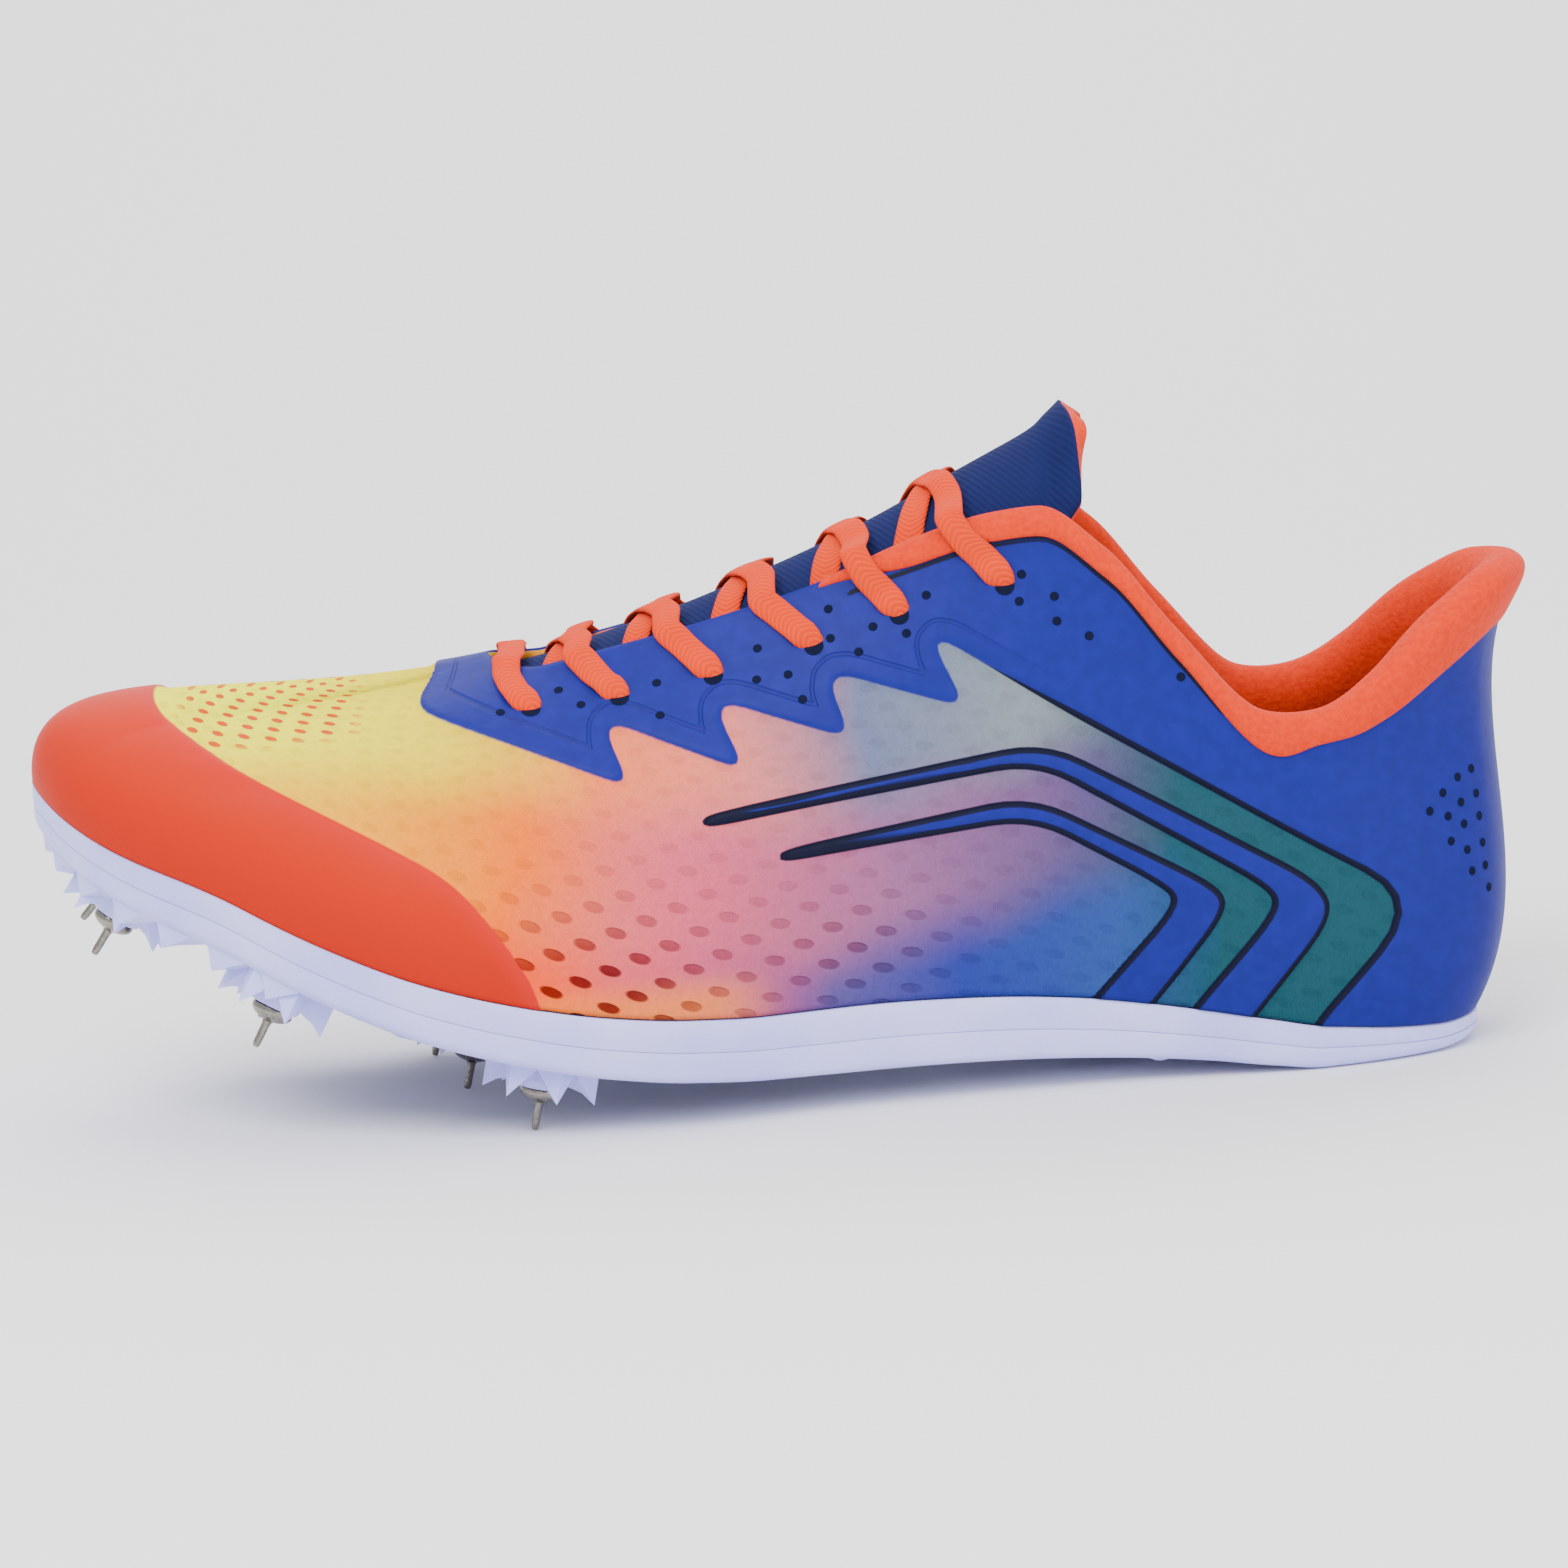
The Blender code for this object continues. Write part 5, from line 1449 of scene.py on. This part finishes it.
def addMidsole(settings):
    # from the board's top down to the seam, up the side and over the rim
    gap, hair = form["clearance"], settings["hair"]
    boardTop = settings["plate"] + gap + settings["board"]
    lower = overRim(hair, lambda turns: seamTop(turns, gap * 0.3), level(boardTop + gap))
    side = [(0.0, 1, lambda turns, s=s: seamTop(turns) + (bandHeight(turns) - seamTop(turns)) * s)
            for s in (0.08, 0.5, 0.9)]
    points = soleGrid(lower[::-1] + side + overRim(hair * 4, bandTop, deckTop))
    midsole = addGrid("foamBand", points, plasticFinish("foamWhite"), closedColumns=True)
    weld(midsole)
    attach(midsole, "root")
    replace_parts(midsole, "midsole")


def addInsole(settings):
    # a sheet of one thickness that follows the rim and the deck
    gap, inset, thick = form["clearance"], settings["insoleInset"], settings["insole"]
    lower = overRim(inset, lambda turns: bandTop(turns, gap), lambda turns: deckTop(turns, gap))
    upper = overRim(inset, lambda turns: bandTop(turns, thick),
                    lambda turns: deckTop(turns, gap + thick))
    fabric = fabricFinish("insoleFabric", *settings["fabric"])
    insole = addGrid("insoleSheet", soleGrid(lower[::-1] + upper), fabric, closedColumns=True)
    weld(insole)
    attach(insole, "root")
    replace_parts(insole, "insole")


def finishBoard(settings):
    # fine black grain on the board that is kept from the frame
    board = bpy.data.objects["base_board"]
    graph = Graph("boardBlack", 0.45, Specular_IOR_Level=0.4)
    grain = graph.noise(700.0, 3.0)
    tone = graph.blend(grain, *[linear(*colour) for colour in settings["blacks"]])
    board.data.materials.clear()
    board.data.materials.append(graph.finish(tone, grain, 0.0003))


addPlate(soleSettings)
print("plate cut")
addMidsole(soleSettings)
addInsole(soleSettings)
finishBoard(soleSettings)
print("sole made")


# Cleats, barbs, edge teeth and turned spikes on the underside

studSettings = {
    "boss": 0.0046,
    "bossHeight": 0.0050,
    "radius": 0.0112,
    "height": 0.0064,
    "teeth": 7,
    "toothPitch": 0.0108,
    "toothInset": 0.0014,
    "toothSize": (0.0092, 0.0058, 0.0046),
    "flange": 0.0041,
    "dome": 0.0027,
    "pin": 0.0008,
    "around": 28,
    # edges past these angles stay sharp
    "cleatSharp": 25,
    "spikeSharp": 40,
    "sawTurns": (-0.300, 0.325),
    "ballLine": 0.306,
    "ballShares": (-0.404, 0.337),
    "others": ((0.299, -0.033), (0.176, -0.353), (0.156, 0.293), (0.066, -0.136), (0.053, 0.141)),
    "steels": ((158, 152, 140), (112, 108, 102)),
}


def spikePlaces(settings):
    # the ball pair lies on the skewed ball line, the others at their own shares
    places = []
    for share in settings["ballShares"]:
        skewed = form["ballSkew"] * share * form["ballWidth"] / form["soleLength"]
        places.append((settings["ballLine"] - skewed, share))
    places += settings["others"]
    return [(alongX(along), form["axisY"] + share * form["ballWidth"]) for along, share in places]


def underFrame(x, y):
    # place on the underside and three directions, the last pointing out of the sole
    step = 0.001
    slopeX = (rocker(x + step, y) - rocker(x - step, y)) / (2 * step)
    slopeY = (rocker(x, y + step) - rocker(x, y - step)) / (2 * step)
    down = Vector((float(slopeX), float(slopeY), -1)).normalized()
    turn = down.to_track_quat("Z", "Y").to_matrix()
    return np.array(turn), np.array((x, y, float(rocker(x, y))))


def copiesAt(name, points, quads, places, finish, sharp):
    # one mesh that holds a copy of a small shape at each place
    copies, faces = [], []
    for index, (x, y) in enumerate(places):
        turn, origin = underFrame(x, y)
        copies.append(points.reshape(-1, 3) @ turn.T + origin)
        faces += (quads + index * len(copies[0])).tolist()
    piece = addMesh(name, np.concatenate(copies), faces, finish)
    weld(piece, sharp, 1e-6)
    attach(piece, "root")
    return piece


def addCleats(settings, places, finish):
    # folded stars: radius and height run straight between tips and hollows
    count = settings["teeth"] * 2
    angles = np.linspace(0, 2 * np.pi, count, endpoint=False)
    peak = (np.arange(count) % 2 == 0).astype(float)
    radius, high = settings["radius"], settings["height"]
    boss, top = settings["boss"], settings["bossHeight"]
    rings = [
        (radius * (0.84 + 0.16 * peak), -0.0014 + 0 * peak),
        (radius * (0.78 + 0.22 * peak), high * (0.08 + 0.92 * peak)),
        (radius * (0.62 + 0.16 * peak), high * (0.34 + 0.40 * peak)),
        (boss * (1.14 + 0.06 * peak), top * (0.66 + 0.10 * peak)),
        (boss * 1.02 + 0 * peak, top + 0 * peak),
        (boss * 0.02 + 0 * peak, top + 0 * peak),
    ]
    points = [np.stack([r * np.cos(angles), r * np.sin(angles), h], axis=1) for r, h in rings]
    quads = ringQuads(len(rings), count)
    cleats = copiesAt("starCleats", np.stack(points), quads, places, finish, settings["cleatSharp"])


def addEdgeTeeth(settings, places, finish):
    # saw teeth along the edge: wedges that rise towards the toe, with their outer face at the rim
    turns = np.linspace(*settings["sawTurns"], 400)
    sides = np.where(turns < 0, -1, 1)
    inset, pitch = settings["toothInset"], settings["toothPitch"]
    x = alongX(turnShare(np.abs(turns))) + inset * np.clip(1 - np.abs(turns) / 0.2, 0, 1)
    y = form["axisY"] + sides * np.maximum(halfWidth(sides, np.abs(turns)) - inset, 0)
    way = np.concatenate([[0], np.cumsum(np.hypot(np.diff(x), np.diff(y)))])
    toe = way[np.argmin(x)]
    long, wide, high = settings["toothSize"]
    tooth = np.array([
        (-long / 2, 0, -0.0014), (long / 2, 0, -0.0014),
        (long / 2, wide, -0.0010), (-long / 2, wide, -0.0010),
        (long * 0.46, 0.0002, high), (long * 0.30, wide * 0.66, high * 0.62),
    ])
    toothFaces = ((0, 1, 2, 3), (0, 4, 1), (1, 4, 5, 2), (0, 3, 5, 4), (3, 2, 5))

    def edgeAt(stop):
        return np.array([np.interp(stop, way, x), np.interp(stop, way, y)])

    points, faces = [], []
    for stop in [toe + turn * pitch * (k + 0.5) for turn in (-1, 1) for k in range(12)]:
        place = edgeAt(stop)
        nearSpike = min(math.dist(place, spike) for spike in places) < settings["radius"] * 0.72
        if nearSpike or not 0 < stop < way[-1]:
            continue
        ahead = unit(edgeAt(stop + (-0.002 if stop > toe else 0.002)) - place)
        inward = np.array([ahead[1], -ahead[0]])
        if inward @ (np.array([0, form["axisY"]]) - place) < 0:
            inward = -inward
        px, py = (place + tooth[:, :1] * ahead + tooth[:, 1:2] * inward).T
        faces += [tuple(c + len(tooth) * len(points) for c in face) for face in toothFaces]
        points.append(np.stack([px, py, rocker(px, py) - tooth[:, 2]], axis=1))
    piece = addMesh("edgeSaw", np.concatenate(points), faces, finish)
    weld(piece)
    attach(piece, "root")


def addBarbs(finish):
    # thin blades from a rib towards the toe
    blade = np.array([
        (0.003, -0.0012, -0.0008), (0.003, 0.0012, -0.0008), (-0.0075, 0, -0.0004),
        (0.003, -0.0009, 0.0012), (0.003, 0.0009, 0.0012), (-0.0070, 0, 0.0004),
    ])
    bladeFaces = ((0, 2, 1), (3, 4, 5), (0, 1, 4, 3), (1, 2, 5, 4), (2, 0, 3, 5))
    share, step = 0.52, 0.006
    points, faces = [], []
    for i in range(4):
        row = windowRow(i)
        for side, word in bothSides:
            inner = row["spine"] + side * row["spineHalf"]
            across = inner * (1 - share) + side * row[f"{word}Limit"] * share
            x = alongX(row["end"] + row[f"{word}Sweep"] * share + 0.004)
            y = form["axisY"] + across * form["ballWidth"]
            high = float(rocker(x, y))
            lean = (float(rocker(x - step, y)) - high) / step
            faces += [tuple(c + len(blade) * len(points) for c in face) for face in bladeFaces]
            z = high - blade[:, 2] - blade[:, 0] * lean
            points.append(np.stack([x + blade[:, 0], y + blade[:, 1], z], axis=1))
    piece = addMesh("ribBarbs", np.concatenate(points), faces, finish)
    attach(piece, "root")


def ridgeAlong(x, y, widths, height):
    # a ridge with sloping sides: trapezoid sections square to the path, sunk a little in the plate
    dx, dy = np.gradient(x), np.gradient(y)
    size = np.hypot(dx, dy)
    across = np.array([-0.5, -0.26, 0.26, 0.5])
    drop = np.array([-0.0008, 1.0, 1.0, -0.0008])
    px = x[:, None] - (dy / size)[:, None] * across * widths[:, None]
    py = y[:, None] + (dx / size)[:, None] * across * widths[:, None]
    high = np.minimum(height, 0.55 * rocker(x, y))[:, None] + 0 * px
    return np.stack([px, py, rocker(px, py) - np.where(drop > 0, high, drop)], axis=-1)


def addRidges(finish):
    # ribs between the windows, the spine, and the rails that run back from the windows' ends
    wide, axis = form["ballWidth"], form["axisY"]
    lines = []
    for i in range(len(windowRows["start"]) - 1):
        front, back = windowRow(i), windowRow(i + 1)
        for side, word in bothSides:
            s = np.linspace(-0.25, 1.12, 14)
            bow = s * 0.7 + s * np.abs(s) * 0.3
            places, acrosses = [], []
            for row, key in ((front, "end"), (back, "start")):
                inner, outer = row["spine"] + side * row["spineHalf"], side * row[f"{word}Limit"]
                places.append(row[key] + row[f"{word}Sweep"] * bow)
                acrosses.append(inner + (outer - inner) * s)
            gap = np.maximum((places[1] - places[0]) * form["soleLength"] - 0.0030, 0.0026)
            x, y = alongX(sum(places) / 2), axis + sum(acrosses) / 2 * wide
            lines.append(ridgeAlong(x, y, gap, 0.0014))
    a = np.linspace(0.086, 0.74, 50)
    centre = curveThrough(windowRows["start"], windowRows["spine"], a)
    half = np.interp(a, [0.086, 0.12, 0.24, 0.45, 0.74], [0.004, 0.024, 0.040, 0.048, 0.020])
    lines.append(ridgeAlong(alongX(a), axis + centre * wide, half * 2 * wide * 0.84, 0.0019))
    for (side, word), first, tip in zip(bothSides, (2, 1), (-0.008, 0.002)):
        ends = windowRows["end"] + windowRows[f"{word}Sweep"] * 0.8
        limits = side * windowRows[f"{word}Limit"] + side * 0.016
        a = np.concatenate([ends[first:], [0.80, 0.872]])
        b = np.concatenate([limits[first:], [side * 0.062, tip]])
        s = np.linspace(a[0], a[-1], 60)
        y = axis + curveThrough(a, b, s) * wide
        lines.append(ridgeAlong(alongX(s), y, np.full(60, 0.0030), 0.0010))
    faces, offset = [], 0
    for line in lines:
        end = offset + 4 * len(line)
        faces += (ringQuads(len(line), 4) + offset).tolist()
        faces += [list(range(offset, offset + 4)), list(range(end - 1, end - 5, -1))]
        offset = end
    points = np.concatenate([line.reshape(-1, 3) for line in lines])
    piece = addMesh("soleRidges", points, faces, finish)
    weld(piece)
    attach(piece, "root")


def addSpikes(settings, places):
    # a profile of radius and height swept round the axis: flange, dome and a pin with a slightly
    # tapered tip; the ball pins reach the floor
    turn, origin = underFrame(*places[0])
    down = turn[:, 2]
    pin, dome, flange = settings["pin"], settings["dome"], settings["flange"]
    reach = (origin[2] - pin * math.hypot(down[0], down[1])) / -down[2]
    foot = settings["bossHeight"] + 0.0003
    profile = [(flange * 0.98, foot), (flange, foot + 0.0005)]
    profile += [(flange * math.cos(a), foot + 0.0005 + (dome - 0.0006) * math.sin(a))
                for a in np.linspace(0.15, 1.22, 9)]
    profile += [
        (pin * 1.25, foot + dome), (pin, foot + dome + 0.0006), (pin * 0.96, reach - 0.0010),
        (pin * 0.80, reach - 0.0002), (pin * 0.6, reach), (0.00001, reach),
    ]
    radii, heights = np.array(profile).T[:, :, None]
    angles = np.linspace(0, 2 * np.pi, settings["around"], endpoint=False)
    ring = [radii * np.cos(angles), radii * np.sin(angles), heights + 0 * angles]
    points = np.stack(ring, axis=-1)
    graph = Graph("turnedSteel", 0.22, Metallic=1.0)
    marks = graph.noise(1400.0, 2.0)
    tone = graph.blend(marks, *[linear(*colour) for colour in settings["steels"]])
    steel = graph.finish(tone, marks, 0.0001, 0.16 + marks * 0.2)
    quads = ringQuads(len(profile), settings["around"])
    spikes = copiesAt("steelSpikes", points, quads, places, steel, settings["spikeSharp"])
    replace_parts(spikes, "spike_ball_lateral", "spike_ball_medial", "spike_centre",
                "spike_lateral_front", "spike_medial_front", "spike_toe_lateral",
                "spike_toe_medial")


def addStuds(settings):
    # all that stands out of the underside
    places = spikePlaces(settings)
    white = plasticFinish("cleatWhite")
    addCleats(settings, places, white)
    addEdgeTeeth(settings, places, white)
    addBarbs(white)
    addRidges(white)
    addSpikes(settings, places)


addStuds(studSettings)
print("cleats and spikes made")
